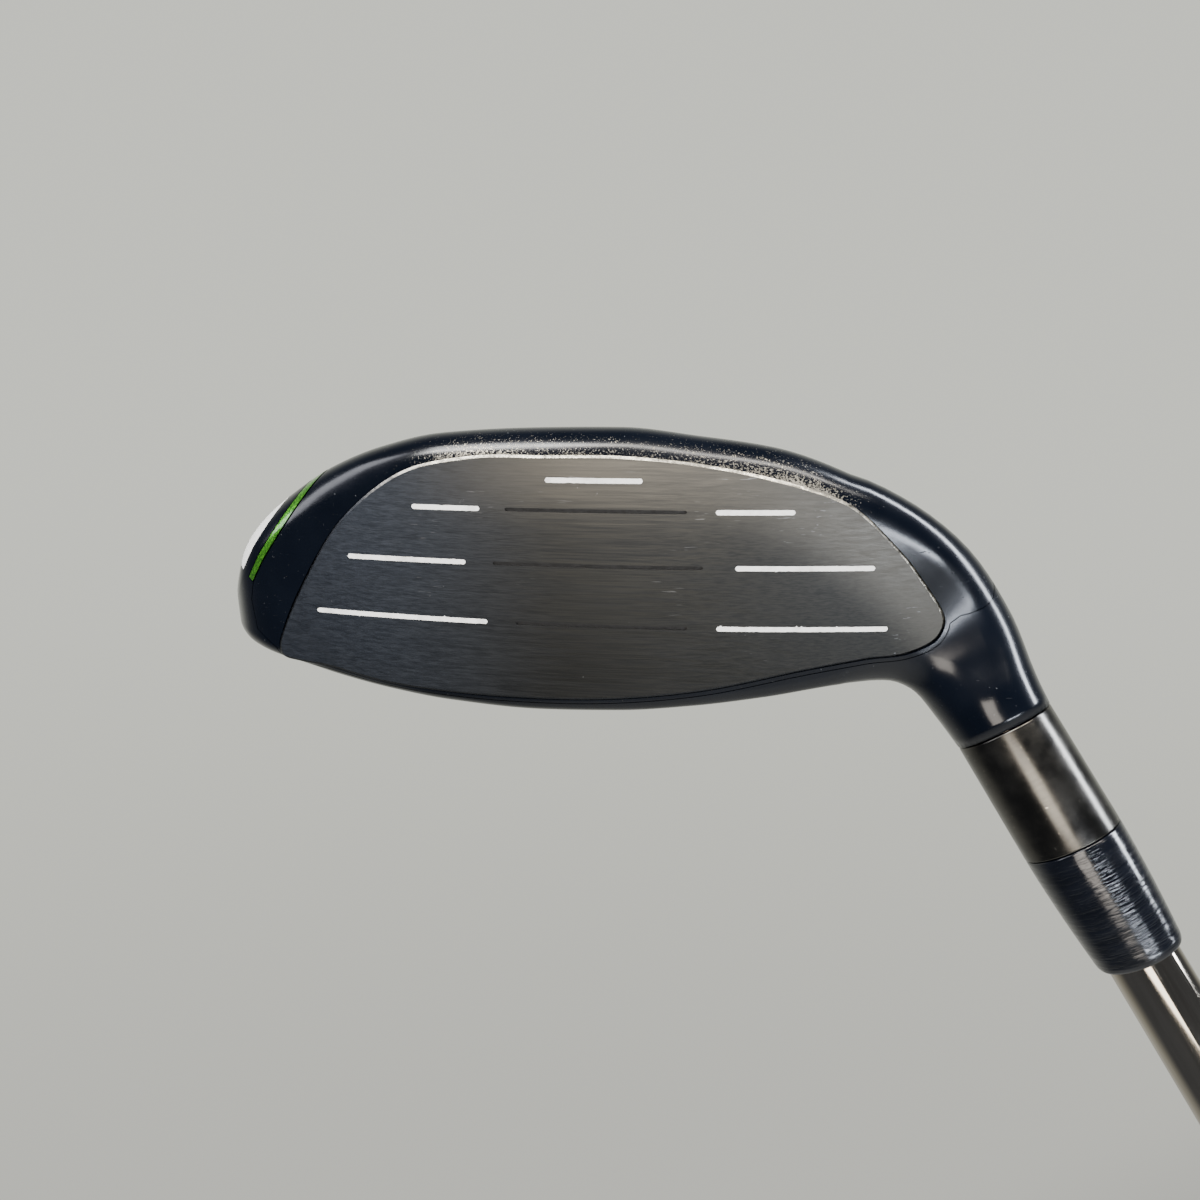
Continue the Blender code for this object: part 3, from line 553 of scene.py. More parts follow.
def insetCorners(corners, inset):
    points = [np.array(corner) for corner in corners]
    lines = []
    for i, start in enumerate(points):
        run = points[(i + 1) % 4] - start
        run /= np.linalg.norm(run)
        inward = np.array((-run[1], run[0]))
        lines.append((start + inward * inset, run))
    moved = []
    for i in range(4):
        (start, run), (other, turn) = lines[i - 1], lines[i]
        gap = other - start
        reach = (gap[0] * turn[1] - gap[1] * turn[0]) / (run[0] * turn[1] - run[1] * turn[0])
        moved.append(tuple(start + run * reach))
    return moved


def sectionLoop(distance, inset=0.0, edgeSteps=(6, 6, 3, 7), cornerSteps=4):
    corners, trims, bulges = sectionCorners(distance, inset)
    points = [np.array(corner) for corner in corners]
    edges = []
    for i in range(4):
        start, end = points[i], points[(i + 1) % 4]
        length = np.linalg.norm(end - start)
        cut = [min(trim, 0.48 * length) for trim in (trims[i], trims[(i + 1) % 4])]
        outward = np.array((end[1] - start[1], start[0] - end[0])) / length
        edges.append((start, end, outward * bulges[i] * length, cut[0] / length, 1 - cut[1] / length))

    def onEdge(edge, t):
        start, end, bulge = edge[:3]
        return start + (end - start) * t + bulge * 4 * t * (1 - t)

    def heading(edge, t):
        start, end, bulge = edge[:3]
        return end - start + bulge * 4 * (1 - 2 * t)

    loop = []
    for i, edge in enumerate(edges):
        first, last = edge[3], edge[4]
        for step in range(edgeSteps[i]):
            loop.append(onEdge(edge, first + (last - first) * step / edgeSteps[i]))
        follower = edges[(i + 1) % 4]
        enter, leave = onEdge(edge, last), onEdge(follower, follower[3])
        pull = 0.5523
        outHandle = enter + heading(edge, last) * (1 - last) * pull
        inHandle = leave - heading(follower, follower[3]) * follower[3] * pull
        for step in range(cornerSteps):
            t = step / cornerSteps
            loop.append(enter * (1 - t) ** 3 + outHandle * 3 * t * (1 - t) ** 2
                        + inHandle * 3 * t * t * (1 - t) + leave * t ** 3)
    return loop


def headDistances(first, last, count):
    ease = [i / (count - 1) for i in range(count)]
    return [first + (last - first) * (0.35 * t * t + 0.65 * t) for t in ease]


def growOutline(outline, grow):
    points = [np.array(point) for point in outline]
    area = sum(a[0] * b[1] - b[0] * a[1] for a, b in zip(points, points[1:] + points[:1]))
    side = 1.0 if area > 0 else -1.0
    moved = []
    for before, here, after in zip(points[-1:] + points[:-1], points, points[1:] + points[:1]):
        first, second = here - before, after - here
        first, second = first / np.linalg.norm(first), second / np.linalg.norm(second)
        normal = np.array((first[1] + second[1], -first[0] - second[0])) * side
        normal /= np.linalg.norm(normal)
        spread = max(abs(normal @ np.array((first[1], -first[0]))), 0.5)
        moved.append(tuple(here + normal * grow / spread))
    return moved


def crownOutline():
    return [(0.012, 0.0035), (0.030, 0.0015), (0.050, 0.0020), (0.068, 0.0050), (0.076, 0.0095),
            (0.0785, 0.0165), (0.0745, 0.0235), (0.0650, 0.0295), (0.0520, 0.0320), (0.0400, 0.0310),
            (0.0280, 0.0275), (0.0170, 0.0220), (0.0090, 0.0160), (0.0070, 0.0090)]


def solePanelOutline():
    return [(0.0170, -0.0010), (0.0350, 0.0035), (0.0480, 0.0035), (0.0640, -0.0010), (0.0670, 0.0060),
            (0.0620, 0.0110), (0.0440, 0.0125), (0.0280, 0.0110), (0.0165, 0.0060)]


def soleHeight(x, y):
    loop = sectionLoop(-x)
    middle = sum(height for _, height in loop) / len(loop)
    lower = sorted(point for point in map(tuple, loop) if point[1] < middle)
    return float(np.interp(y, [point[0] for point in lower], [point[1] for point in lower]))


def shaftRadius(height):
    steps = sum(1 for i in range(shaft["steps"]) if height > shaft["firstStep"] + i * shaft["pitch"])
    return (shaft["butt"] + (shaft["tip"] - shaft["butt"]) * steps / shaft["steps"]) / 2


# mesh helpers

def pieceFromMesh(name, mesh, *materials):
    obj = bpy.data.objects.new(name, mesh)
    bpy.context.scene.collection.objects.link(obj)
    for material in materials:
        mesh.materials.append(material)
    return obj


def meshFrom(bm, name, sharp=None):
    bmesh.ops.recalc_face_normals(bm, faces=bm.faces)
    mesh = bpy.data.meshes.new(name)
    bm.to_mesh(mesh)
    bm.free()
    if sharp:
        mesh.shade_smooth()
        mesh.set_sharp_from_angle(angle=radians(sharp))
    return mesh


def loftMesh(name, loops):  # a closed skin through loops with the same number of points
    bm = bmesh.new()
    rings = [[bm.verts.new(point) for point in loop] for loop in loops]
    for ring, following in zip(rings, rings[1:]):
        for i in range(len(ring)):
            j = (i + 1) % len(ring)
            bm.faces.new((ring[i], ring[j], following[j], following[i]))
    bm.faces.new(rings[0][::-1])
    bm.faces.new(rings[-1])
    return meshFrom(bm, name, 35)


def turnedMesh(name, outline, steps, place=lambda x, y, z: (x, y, z), sharp=32):
    bm = bmesh.new()
    rings = []
    for radius, height in outline:
        if radius == 0:
            rings.append([bm.verts.new(place(0, 0, height))] * steps)
        else:
            rings.append([bm.verts.new(place(radius * cos(fullTurn * i / steps),
                                             radius * sin(fullTurn * i / steps), height))
                          for i in range(steps)])
    for k, ring in enumerate(rings):
        following = rings[(k + 1) % len(rings)]
        for i in range(steps):
            j = (i + 1) % steps
            corners = []
            for corner in (ring[i], ring[j], following[j], following[i]):
                if corner not in corners:
                    corners.append(corner)
            if len(corners) > 2:
                bm.faces.new(corners)
    return meshFrom(bm, name, sharp)


def cut(obj, cutters, operation="DIFFERENCE"):
    for cutter in cutters if isinstance(cutters, (list, tuple)) else (cutters,):
        modifier = obj.modifiers.new("cut", "BOOLEAN")
        modifier.operation = operation
        modifier.solver = "EXACT"
        modifier.object = cutter
        bpy.context.view_layer.update()
        graph = bpy.context.evaluated_depsgraph_get()
        mesh = bpy.data.meshes.new_from_object(obj.evaluated_get(graph))
        obj.modifiers.clear()
        obj.data = mesh
    return obj


def discard(*objects):
    for obj in objects:
        bpy.data.objects.remove(obj, do_unlink=True)


def headLoops(inset, first, last, count, rounded=False):
    loops = []
    for distance in headDistances(first, last, count):
        loops.append([placeOnStation(distance, y, height) for y, height in
                      sectionLoop(distance, inset, edgeSteps, cornerSteps)])
    if rounded:  # a small dome closes the toe
        toeLoop = np.array(loops[0])
        middle = toeLoop.mean(0)
        for turn in (0.3, 0.62, 0.9, 1.15, 1.35):
            ring = middle + (toeLoop - middle) * cos(turn)
            ring[:, 0] += 0.00045 * sin(turn)
            loops.insert(0, ring.tolist())
    return [[fromHead(*point) for point in loop] for loop in loops]


def prism(name, outline, near, far):
    loops = [[fromHead(*place(*point)) for point in outline] for place in (near, far)]
    return pieceFromMesh(name, loftMesh(name, loops))


def closedCurve(points, steps):  # a smooth closed line through the points
    points = [np.array(point, float) for point in points]
    out = []
    for i in range(len(points)):
        before, start, end, after = (points[(i + k) % len(points)] for k in (-1, 0, 1, 2))
        first = (end - before) * 0.5
        last = (after - start) * 0.5
        reach = np.linalg.norm(end - start)
        first *= min(1.0, reach / max(np.linalg.norm(first), 1e-9))
        last *= min(1.0, reach / max(np.linalg.norm(last), 1e-9))
        for step in range(steps):
            t = step / steps
            out.append(start * (2 * t ** 3 - 3 * t * t + 1) + first * (t ** 3 - 2 * t * t + t)
                       + end * (3 * t * t - 2 * t ** 3) + last * (t ** 3 - t * t))
    return [tuple(point) for point in out]


def carryNormals(obj):  # smooth shading of the uncut skin, flat on the cut walls
    mesh = obj.data
    near = []
    for vertex in mesh.vertices:
        hit, _, index, away = skinTree.find_nearest(vertex.co)
        if hit is None or away > 0.00003:
            near.append(None)
            continue
        total = Vector()
        for corner in skinFaces[index]:
            total += skinNormals[corner] / ((vertex.co - skinPoints[corner]).length + 1e-7) ** 2
        near.append(total.normalized())
    normals = []
    for face in mesh.polygons:
        flat = face.normal
        for index in face.vertices:
            smoothed = near[index]
            normals.append(smoothed if smoothed is not None and smoothed.dot(flat) > 0.72 else flat)
    mesh.shade_smooth()
    mesh.normals_split_custom_set([tuple(normal) for normal in normals])


def finishPiece(obj, material, slotName, node):
    obj.data.materials.clear()
    obj.data.materials.append(material)
    standFor(obj, slotName, node)


def standFor(obj, slotName, *nodes):
    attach(obj, "root")
    if nodes:
        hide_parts(*nodes)


# head

edgeSteps, cornerSteps = (24, 24, 10, 26), 9
toeEnd, neckEnd = head["stations"][0][0] * mm, stationTable()[-1, 0]

skin = pieceFromMesh("skin", loftMesh("skin", headLoops(0.0, toeEnd, neckEnd, head["sections"], True)))
skinPoints = [vertex.co.copy() for vertex in skin.data.vertices]
skinFaces = [tuple(face.vertices) for face in skin.data.polygons]
skinNormals = [Vector(entry.vector) for entry in skin.data.vertex_normals]
skinTree = BVHTree.FromPolygons(skinPoints, skinFaces)


def innerSkin(name, inset, last):
    return pieceFromMesh(name, loftMesh(name, headLoops(inset, toeEnd + inset * 1.5, last, 48)))


hollow = innerSkin("hollow", head["wall"], 0.0040)
underInlay = innerSkin("underInlay", head["inlay"], 0.0040)
behindCup = innerSkin("behindCup", head["wall"], 0.019)
print("skins ready")

seam = club["seam"]
faceOutline = closedCurve([(a * mm, b * mm) for a, b in facePlate["outline"]], 10)


def cupOutline():  # follows the face's edge on the crown side, then passes the sole
    ring = growOutline(faceOutline, 0.00055)
    crownSide = [point for point in ring if point[1] > (0.0150 if point[0] > 0 else 0.0076)]
    start = max(range(len(crownSide)), key=lambda i: np.hypot(*(np.array(crownSide[i]) - crownSide[i - 1])))
    crownSide = crownSide[start:] + crownSide[:start]
    neck = [(-0.0478, 0.0066), (-0.0490, 0.0063), (-0.0500, 0.0059), (-0.0508, 0.0056), (-0.0515, 0.0052),
            (-0.0522, 0.0046), (-0.0526, 0.0036), (-0.0545, -0.0020), (-0.0580, -0.0130)]
    below = [(-0.0600, -0.0400), (0.0300, -0.0400)]
    toe = [(a * mm, b * mm) for a, b in toeInlay["seam"]]
    if crownSide[0][0] < crownSide[-1][0]:
        crownSide.reverse()
    return crownSide + neck + below + toe + [(0.0525, 0.0125)]


def faceSlab(outline, near, far, name):  # a prism square to the face's middle
    def at(depth):
        def place(across, up):
            x, y, z = head["faceCentre"]
            return (x + across, y + up * sin(loft) + depth * cos(loft),
                    z + up * cos(loft) - depth * sin(loft))
        return place
    return prism(name, outline, at(near), at(far))


def cupSpace(name, grow):
    slab = faceSlab(growOutline(cupOutline(), grow), -0.030, head["cupDepth"] + grow, name)
    return cut(slab, behindCup)


def copyOf(name):
    obj = bpy.data.objects.new(name, skin.data.copy())
    bpy.context.scene.collection.objects.link(obj)
    return obj


def markEdge(obj):  # 1 at the face's edge, fading over a few millimetres
    rim = np.array(faceOutline)
    values = []
    x0, y0, z0 = head["faceCentre"]
    back = Matrix((turnFromHead(1, 0, 0), turnFromHead(0, 1, 0), turnFromHead(0, 0, 1)))
    for vertex in obj.data.vertices:
        x, y, z = back @ (vertex.co - fromHead(0, 0, 0))
        across, up = x - x0, (z - z0) * cos(loft) + (y - y0) * sin(loft)
        deep = (y - y0) * cos(loft) - (z - z0) * sin(loft) - across ** 2 / (2 * head["faceBulge"])
        away = np.hypot(np.hypot(rim[:, 0] - across, rim[:, 1] - up).min(), max(deep, 0.0))
        soleSide = ramp(-up, -0.005, 0.004) * ramp(0.034 - across, 0.0, 0.016)
        values.append(float(np.exp(-away / 0.0024)) * soleSide)
    layer = obj.data.attributes.new("edge", "FLOAT", "POINT")
    layer.data.foreach_set("value", values)


openFace = faceSlab(growOutline(faceOutline, 0.00003), -0.030, 0.030, "openFace")
cupRegion = cupSpace("cupRegion", 0.0)
cupOpening = cupSpace("cupOpening", seam)
cupClearance = cupSpace("cupClearance", 2 * seam)
boreRadius, boreTop, boreLength = 0.005, 0.0235, 0.030
boreOutline = [(0, 1), (boreRadius, 1), (boreRadius, 0), (0, 0)]
bore = pieceFromMesh("bore", turnedMesh("bore", boreOutline, 64, lambda x, y, z: (
    x, y, club["length"] - boreTop - z * boreLength)))

def headPiece(node, space, cutters, look, slotName):
    piece = cut(cut(copyOf(node + "_visual"), space, "INTERSECT"), cutters)
    carryNormals(piece)
    finishPiece(piece, looks[look], slotName, node)
    return piece


def planPrism(name, outline, low, high, grow):
    return prism(name, growOutline(closedCurve(outline, 6), grow), lambda x, y: (x, y, low),
                 lambda x, y: (x, y, high))


def toeSpace(name, near, far, grow):  # a band outside the toe seam, as thick as the inlays
    line = [np.array(point) * mm for point in toeInlay["seam"][2:-1]]
    outward = line[-1] - line[0]
    outward = np.array((outward[1], -outward[0])) / np.linalg.norm(outward)
    along = np.array((-outward[1], outward[0]))
    inner = [point + outward * (near - grow) for point in line]
    outer = [point + outward * (far + grow) for point in line]
    for edge in (inner, outer):
        edge[0] = edge[0] - along * grow
        edge[-1] = edge[-1] + along * grow
    return cut(faceSlab(inner + outer[::-1], -0.030, toeInlay["depth"] + grow, name), underInlay)


crownSpace = planPrism("crownSpace", crownOutline(), 0.018, 0.060, 0.0)
crownOpening = planPrism("crownOpening", crownOutline(), 0.018, 0.060, seam)
panelSpace = cut(planPrism("panelSpace", solePanelOutline(), -0.010, 0.012, 0.0), underInlay)
panelOpening = cut(planPrism("panelOpening", solePanelOutline(), -0.010, 0.012, seam), underInlay)
accentSpace = toeSpace("accentSpace", seam, toeInlay["accent"], 0.0)
badgeSpace = toeSpace("badgeSpace", toeInlay["badgeStart"], toeInlay["badgeEnd"], 0.0)
accentOpening = toeSpace("accentOpening", -0.001, toeInlay["accent"], seam)
badgeOpening = toeSpace("badgeOpening", toeInlay["badgeStart"], toeInlay["badgeEnd"], seam)

markEdge(headPiece("face_cup", cupRegion, [openFace, bore], "wornEnamel", "brushed_face"))
print("face cup ready")
headPiece("crown_cover", crownSpace, hollow, "enamel", "black_enamel")
headPiece("sole_panel", panelSpace, (), "panel", "dark_panel")
headPiece("toe_accent", accentSpace, cupClearance, "green", "green_accent")
headPiece("toe_badge", badgeSpace, cupClearance, "badge", "white_panel")
print("inlays ready")

# weight screw, square to the sole where it sits
sx, sy = screw["place"]
reach = screw["diameter"] / 2
riseBack = (soleHeight(sx, sy + reach) - soleHeight(sx, sy - reach)) / (2 * reach)
riseToe = (soleHeight(sx + reach, sy) - soleHeight(sx - reach, sy)) / (2 * reach)
seatTurn = Matrix.Rotation(-atan(riseToe), 3, "Y") @ Matrix.Rotation(atan(riseBack), 3, "X")
seatPlace = Vector((sx, sy, soleHeight(sx, sy)))


def onSeat(x, y, z):
    return fromHead(*(seatPlace + seatTurn @ Vector((x, y, z))))


seat = screw["height"] + screw["sink"]


def plug(name, radius, low, high):
    outline = [(0, high), (radius, high), (radius, low), (0, low)]
    return pieceFromMesh(name, turnedMesh(name, outline, 64, onSeat))


boss = plug("boss", screw["boss"] / 2, seat - head["wall"], seat + 0.0041)
headHole = plug("headHole", reach + seam, -0.010, seat)
shankHole = plug("shankHole", screw["shank"] + seam, -0.010, 0.020)

body = cut(copyOf("body_shell_visual"), [hollow, cupOpening, crownOpening, panelOpening,
                                         accentOpening, badgeOpening, bore])
cut(body, boss, "UNION")
cut(body, [headHole, shankHole])
carryNormals(body)
finishPiece(body, looks["enamel"], "black_enamel", "body_shell")
print("body ready")

top = seat - 0.0008 - 2 * 0.0003
rim, edge = screw["sink"], 0.0004
shank, shankLength = screw["shank"], 0.0062
outline = [(0, top + shankLength), (shank, top + shankLength), (shank, top), (reach, top),
           (reach, rim + edge)]
outline += [(reach - edge * (1 - cos(t * pi / 8)), rim + edge * (1 - sin(t * pi / 8)))
            for t in (1, 2, 3, 4)]
outline += [(reach * 0.72, rim), (reach * 0.70, rim + 0.00018), (reach * 0.52, rim + 0.00018),
            (reach * 0.50, rim), (0, rim)]
weightScrew = pieceFromMesh("weight_screw_visual", turnedMesh("weight_screw", outline, 72, onSeat))
driveLobes = []
for i in range(72):
    turn = fullTurn * i / 72
    driveLobes.append((screw["drive"] * (0.86 + 0.14 * cos(6 * turn)) * cos(turn),
                       screw["drive"] * (0.86 + 0.14 * cos(6 * turn)) * sin(turn)))
drive = pieceFromMesh("drive", loftMesh("drive", [
    [onSeat(x, y, height) for x, y in driveLobes] for height in (-0.002, rim + screw["driveDepth"])]))
cut(weightScrew, drive)
weightScrew.data.shade_smooth()
weightScrew.data.set_sharp_from_angle(angle=radians(30))
finishPiece(weightScrew, looks["screw"], "steel", "weight_screw")


# face plate: a milled face with chamfered rim and score lines

def lineLoop(height, toe, heel, width):  # a slot with round ends
    radius, straight = width / 2, toe - heel - width
    count = max(2, int(straight / 0.0012))
    points = []
    for side, start in ((1, toe - radius), (-1, heel + radius)):
        for i in range(count + 1):
            points.append((start - side * straight * i / count, height + side * radius))
        end = heel + radius if side > 0 else toe - radius
        for i in range(1, 8):
            turn = pi * i / 8
            points.append((end - side * radius * sin(turn), height + side * radius * cos(turn)))
    return points


def onFace(across, up, out):
    return fromHead(*facePoint(across, up, out))


def insideLine(x, y, line):
    height, toe, heel, painted = line
    radius = (facePlate["lineWidth"] if painted else facePlate["bareWidth"]) / 2
    nearest = min(max(x, heel * mm + radius), toe * mm - radius)
    return np.hypot(x - nearest, y - height * mm) < radius * 0.999


def buildFacePlate():
    proud, chamfer, step = (facePlate[key] for key in ("proud", "chamfer", "step"))
    inner = growOutline(faceOutline, -chamfer)
    points, edges, loops = [], [], []

    def addLoop(loop):
        first = len(points)
        points.extend(Vector(point) for point in loop)
        edges.extend((first + i, first + (i + 1) % len(loop)) for i in range(len(loop)))
        loops.append(range(first, first + len(loop)))

    addLoop(inner)
    for height, toe, heel, painted in facePlate["lines"]:
        width = facePlate["lineWidth"] if painted else facePlate["bareWidth"]
        addLoop(lineLoop(height * mm, toe * mm, heel * mm, width))
    rimPoints = np.array(inner)
    slots = np.array([tuple(points[i]) for loop in loops[1:] for i in loop])
    for x in np.arange(-0.050, 0.052, step):
        for y in np.arange(-0.016, 0.021, step):
            crossings = sum(
                (a[1] > y) != (b[1] > y) and x < (b[0] - a[0]) * (y - a[1]) / (b[1] - a[1]) + a[0]
                for a, b in zip(inner, inner[1:] + inner[:1]))
            clear = min(np.hypot(rimPoints[:, 0] - x, rimPoints[:, 1] - y).min(),
                        np.hypot(slots[:, 0] - x, slots[:, 1] - y).min())
            if crossings % 2 and clear > step * 0.35:
                points.append(Vector((x, y)))
    flat, _, triangles, *_ = delaunay_2d_cdt(points, edges, [], 1, 1e-7)
    bm = bmesh.new()
    rubAndGlint = bm.verts.layers.float.new("rubAndGlint")
    topVerts = [bm.verts.new(onFace(x, y, proud)) for x, y in flat]
    floorVerts = {}

    def floorVert(i):
        if i not in floorVerts:
            floorVerts[i] = bm.verts.new(onFace(*flat[i], proud - facePlate["lineDepth"]))
        return floorVerts[i]

    grooveEdges = {}
    # faces inside a score line sink to the groove floor and take the third slot, a near-black painted shade
    for triangle in triangles:
        x, y = (sum(flat[i][k] for i in triangle) / 3 for k in (0, 1))
        line = next((line for line in facePlate["lines"] if insideLine(x, y, line)), None)
        if line is None:
            face = bm.faces.new([topVerts[i] for i in triangle])
        else:
            face = bm.faces.new([floorVert(i) for i in triangle])
            face.material_index = 2
            for a, b in zip(triangle, triangle[1:] + triangle[:1]):
                key = (min(a, b), max(a, b))
                grooveEdges[key] = grooveEdges.get(key, 0) + 1
    for (a, b), uses in grooveEdges.items():
        if uses == 1:
            bm.faces.new((topVerts[a], topVerts[b], floorVert(b), floorVert(a))).material_index = 2
    bm.verts.ensure_lookup_table()
    lookup = {(round(x, 7), round(y, 7)): i for i, (x, y) in enumerate(flat)}
    rimTop = [topVerts[lookup[(round(x, 7), round(y, 7))]] for x, y in map(Vector, inner)]
    rings = [rimTop]
    for out in (proud - chamfer * 0.55, -head["wall"]):
        rings.append([bm.verts.new(onFace(x, y, out)) for x, y in growOutline(faceOutline, 0.0)])
    for depth, (ring, following) in enumerate(zip(rings, rings[1:])):
        for i in range(len(ring)):
            j = (i + 1) % len(ring)
            face = bm.faces.new((ring[i], ring[j], following[j], following[i]))
            face.material_index = 1 if depth == 0 else 0
    bm.faces.new(rings[-1])
    # rubAndGlint is 1 on the sole side towards the heel: chamfer wear plus a painted highlight line
    for ring in rings:
        for vertex, (across, up) in zip(ring, inner):
            vertex[rubAndGlint] = ramp(0.0088 - up, 0.0, 0.002) * ramp(0.036 - across, 0.0, 0.014)
    loose = [vertex for vertex in bm.verts if not vertex.link_faces]
    bmesh.ops.delete(bm, geom=loose, context="VERTS")
    return meshFrom(bm, "face_plate", 20)


plate = pieceFromMesh("face_plate", buildFacePlate(), looks["face"], looks["bare"], looks["groove"])
standFor(plate, "brushed_face")
print("face plate ready")


def buildLinePaint():  # enamel wiped into the grooves, with slightly ragged edges
    chance = np.random.default_rng(7)
    bm = bmesh.new()
    for height, toe, heel, painted in facePlate["lines"]:
        if not painted:
            continue
        radius = facePlate["lineWidth"] / 2
        count = int((toe - heel) / 0.16)
        wobble = chance.normal(0, 1, (2, count + 1))
        smoothWobble = (wobble + np.roll(wobble, 1, 1) + np.roll(wobble, 2, 1)) / 3
        upper, lower = [], []
        for i in range(count + 1):
            x = (toe + (heel - toe) * i / count) * mm
            inEnd = max(0.0, radius - min(toe * mm - x, x - heel * mm))
            half = np.sqrt(max(radius ** 2 - inEnd ** 2, (radius * 0.12) ** 2))
            high = half - abs(smoothWobble[0, i]) * 0.00004 + max(0.0, smoothWobble[0, i] - 1.0) * 0.00020
            low = half - abs(smoothWobble[1, i]) * 0.00004 + max(0.0, smoothWobble[1, i] - 0.9) * 0.00030
            upper.append((x, height * mm + high))
            lower.append((x, height * mm - low))
        levels = (facePlate["proud"] + 0.00002, facePlate["proud"] - facePlate["lineDepth"] + 0.00002)
        grid = [[bm.verts.new(onFace(*point, level)) for point in side] for level in levels
                for side in (upper, lower)]
        around = (grid[0], grid[1], grid[3], grid[2])
        for first, second in zip(around, around[1:] + around[:1]):
            for i in range(count):
                bm.faces.new((first[i], first[i + 1], second[i + 1], second[i]))
        for i in (0, count):
            bm.faces.new([row[i] for row in around])
    return meshFrom(bm, "score_paint")


linePaint = pieceFromMesh("score_paint", buildLinePaint(), looks["linePaint"])
standFor(linePaint, "white_panel")

# pieces turned round the shaft

def turnedPiece(node, outline, look, slotName, steps=128):
    piece = pieceFromMesh(node + "_visual", turnedMesh(node, outline, steps), looks[look])
    standFor(piece, slotName, node)


def nodeSpan(node, closer=0.0):
    low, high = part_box(node)
    return low.z - closer, high.z + closer, high.x


def rounded(radius, height, size, inward, steps=5):  # quarter round from the side to the end face
    turns = [pi / 2 * i / steps for i in range(steps + 1)]
    return [(radius - size * (1 - cos(turn)), height + inward * size * (1 - sin(turn)))
            for turn in turns]


pieceGap = 0.0001        # how much the collar and ferrule close on each other
fit = 0.0003             # clearance round the shaft
smallRound = 0.0002
filmWall = 0.0003
low, high, radius = nodeSpan("hosel_collar", pieceGap)
bore = shaft["tip"] / 2 + fit
outline = rounded(radius, high, smallRound, -1)[::-1] + rounded(radius, low, smallRound, 1)
outline += [(bore, low), (bore, high)]
turnedPiece("hosel_collar", outline, "band", "gunmetal")

low, high, radius = nodeSpan("ferrule", pieceGap)
tip, endRound = 0.0058, 0.0017
lip = tip - bore - 0.00025  # the rounded end stops short of the bore
outline = rounded(radius, high, smallRound, -1)[::-1]
for i in range(1, 25):
    share = i / 25
    outline.append((radius + (tip - radius) * share ** 1.6,
                    high - smallRound + (low + endRound - high) * share))
outline += [(tip - lip * (1 - cos(pi / 2 * i / 8)), low + endRound * (1 - sin(pi / 2 * i / 8)))
            for i in range(9)]
outline += [(bore, low), (bore, high)]
turnedPiece("ferrule", outline, "ferrule", "black_plastic")

low, high, _ = nodeSpan("shaft")
tipRadius, buttRadius, tipBreak = shaft["tip"] / 2, shaft["butt"] / 2, 0.00025
outline = [(tipRadius - tipBreak, high), (tipRadius, high - tipBreak)]
for i in reversed(range(shaft["steps"])):
    height = shaft["firstStep"] + i * shaft["pitch"]
    upper, lower = shaftRadius(height + shaft["stepRise"]), shaftRadius(height)
    for t in (1.0, 0.8, 0.5, 0.2, 0.0):
        ease = t * t * (3 - 2 * t)
        outline.append((lower + (upper - lower) * ease, height + shaft["stepRise"] * t))
tipBore, buttBore = tipRadius - shaft["wall"], buttRadius - shaft["wall"]
outline += [(buttRadius, low), (buttBore, low), (buttBore, shaft["firstStep"] - shaft["pitch"]),
            (tipBore, shaft["firstStep"] + shaft["steps"] * shaft["pitch"]), (tipBore, high)]
turnedPiece("shaft", outline, "chrome", "chrome")

low, high, radius = nodeSpan("shaft_label")
outline = [(radius - 0.0001, high), (radius, high - 0.0001), (radius, low + 0.0001),
           (radius - 0.0001, low), (radius - filmWall, low), (radius - filmWall, high)]
turnedPiece("shaft_label", outline, "label", "label_film", 96)

low, high, radius = nodeSpan("grip_sleeve")
flareEnd = low + grip["flare"]
gripBore = shaft["butt"] / 2 + 0.0009


def gripRadius(height):
    share = min(max((high - height) / (high - flareEnd), 0.0), 1.0)
    plain = (grip["mouth"] + (grip["butt"] - grip["mouth"]) * share ** 0.85) / 2
    if height < flareEnd:
        plain += (radius - grip["butt"] / 2) * ((flareEnd - height) / (flareEnd - low)) ** 2
    return plain


outline = [(gripBore, high), (grip["mouth"] / 2 - 0.0010, high)]
outline += rounded(grip["mouth"] / 2, high, 0.0010, -1)[::-1][1:]
for height in np.linspace(high - 0.0012, low, 180):
    wave = 0.0
    for ringPlace in (high - 0.006, high - 0.009, low + 0.024, low + 0.027):
        wave += 0.00035 * np.exp(-((height - ringPlace) / 0.0006) ** 2)
    outline.append((gripRadius(height) - wave, height))
outline.append((gripBore, low))
turnedPiece("grip_sleeve", outline, "rubber", "rubber")

capLow, capHigh, capRadius = nodeSpan("grip_cap")
vent = grip["vent"] / 2
outline = [(vent, capHigh), (capRadius, capHigh)] + rounded(capRadius, capLow, 0.0022, 1, 10)
for ringRadius in (0.0118, 0.0078):
    outline += [(ringRadius, capLow), (ringRadius - 0.0003, capLow + 0.0004),
                (ringRadius - 0.0008, capLow + 0.0004), (ringRadius - 0.0011, capLow)]
outline += [(vent + 0.0005, capLow), (vent, capLow + 0.0005)]
turnedPiece("grip_cap", outline, "capRubber", "rubber")
print("turned pieces ready")


# raised diamond pads over the grip, laid out in staggered rows

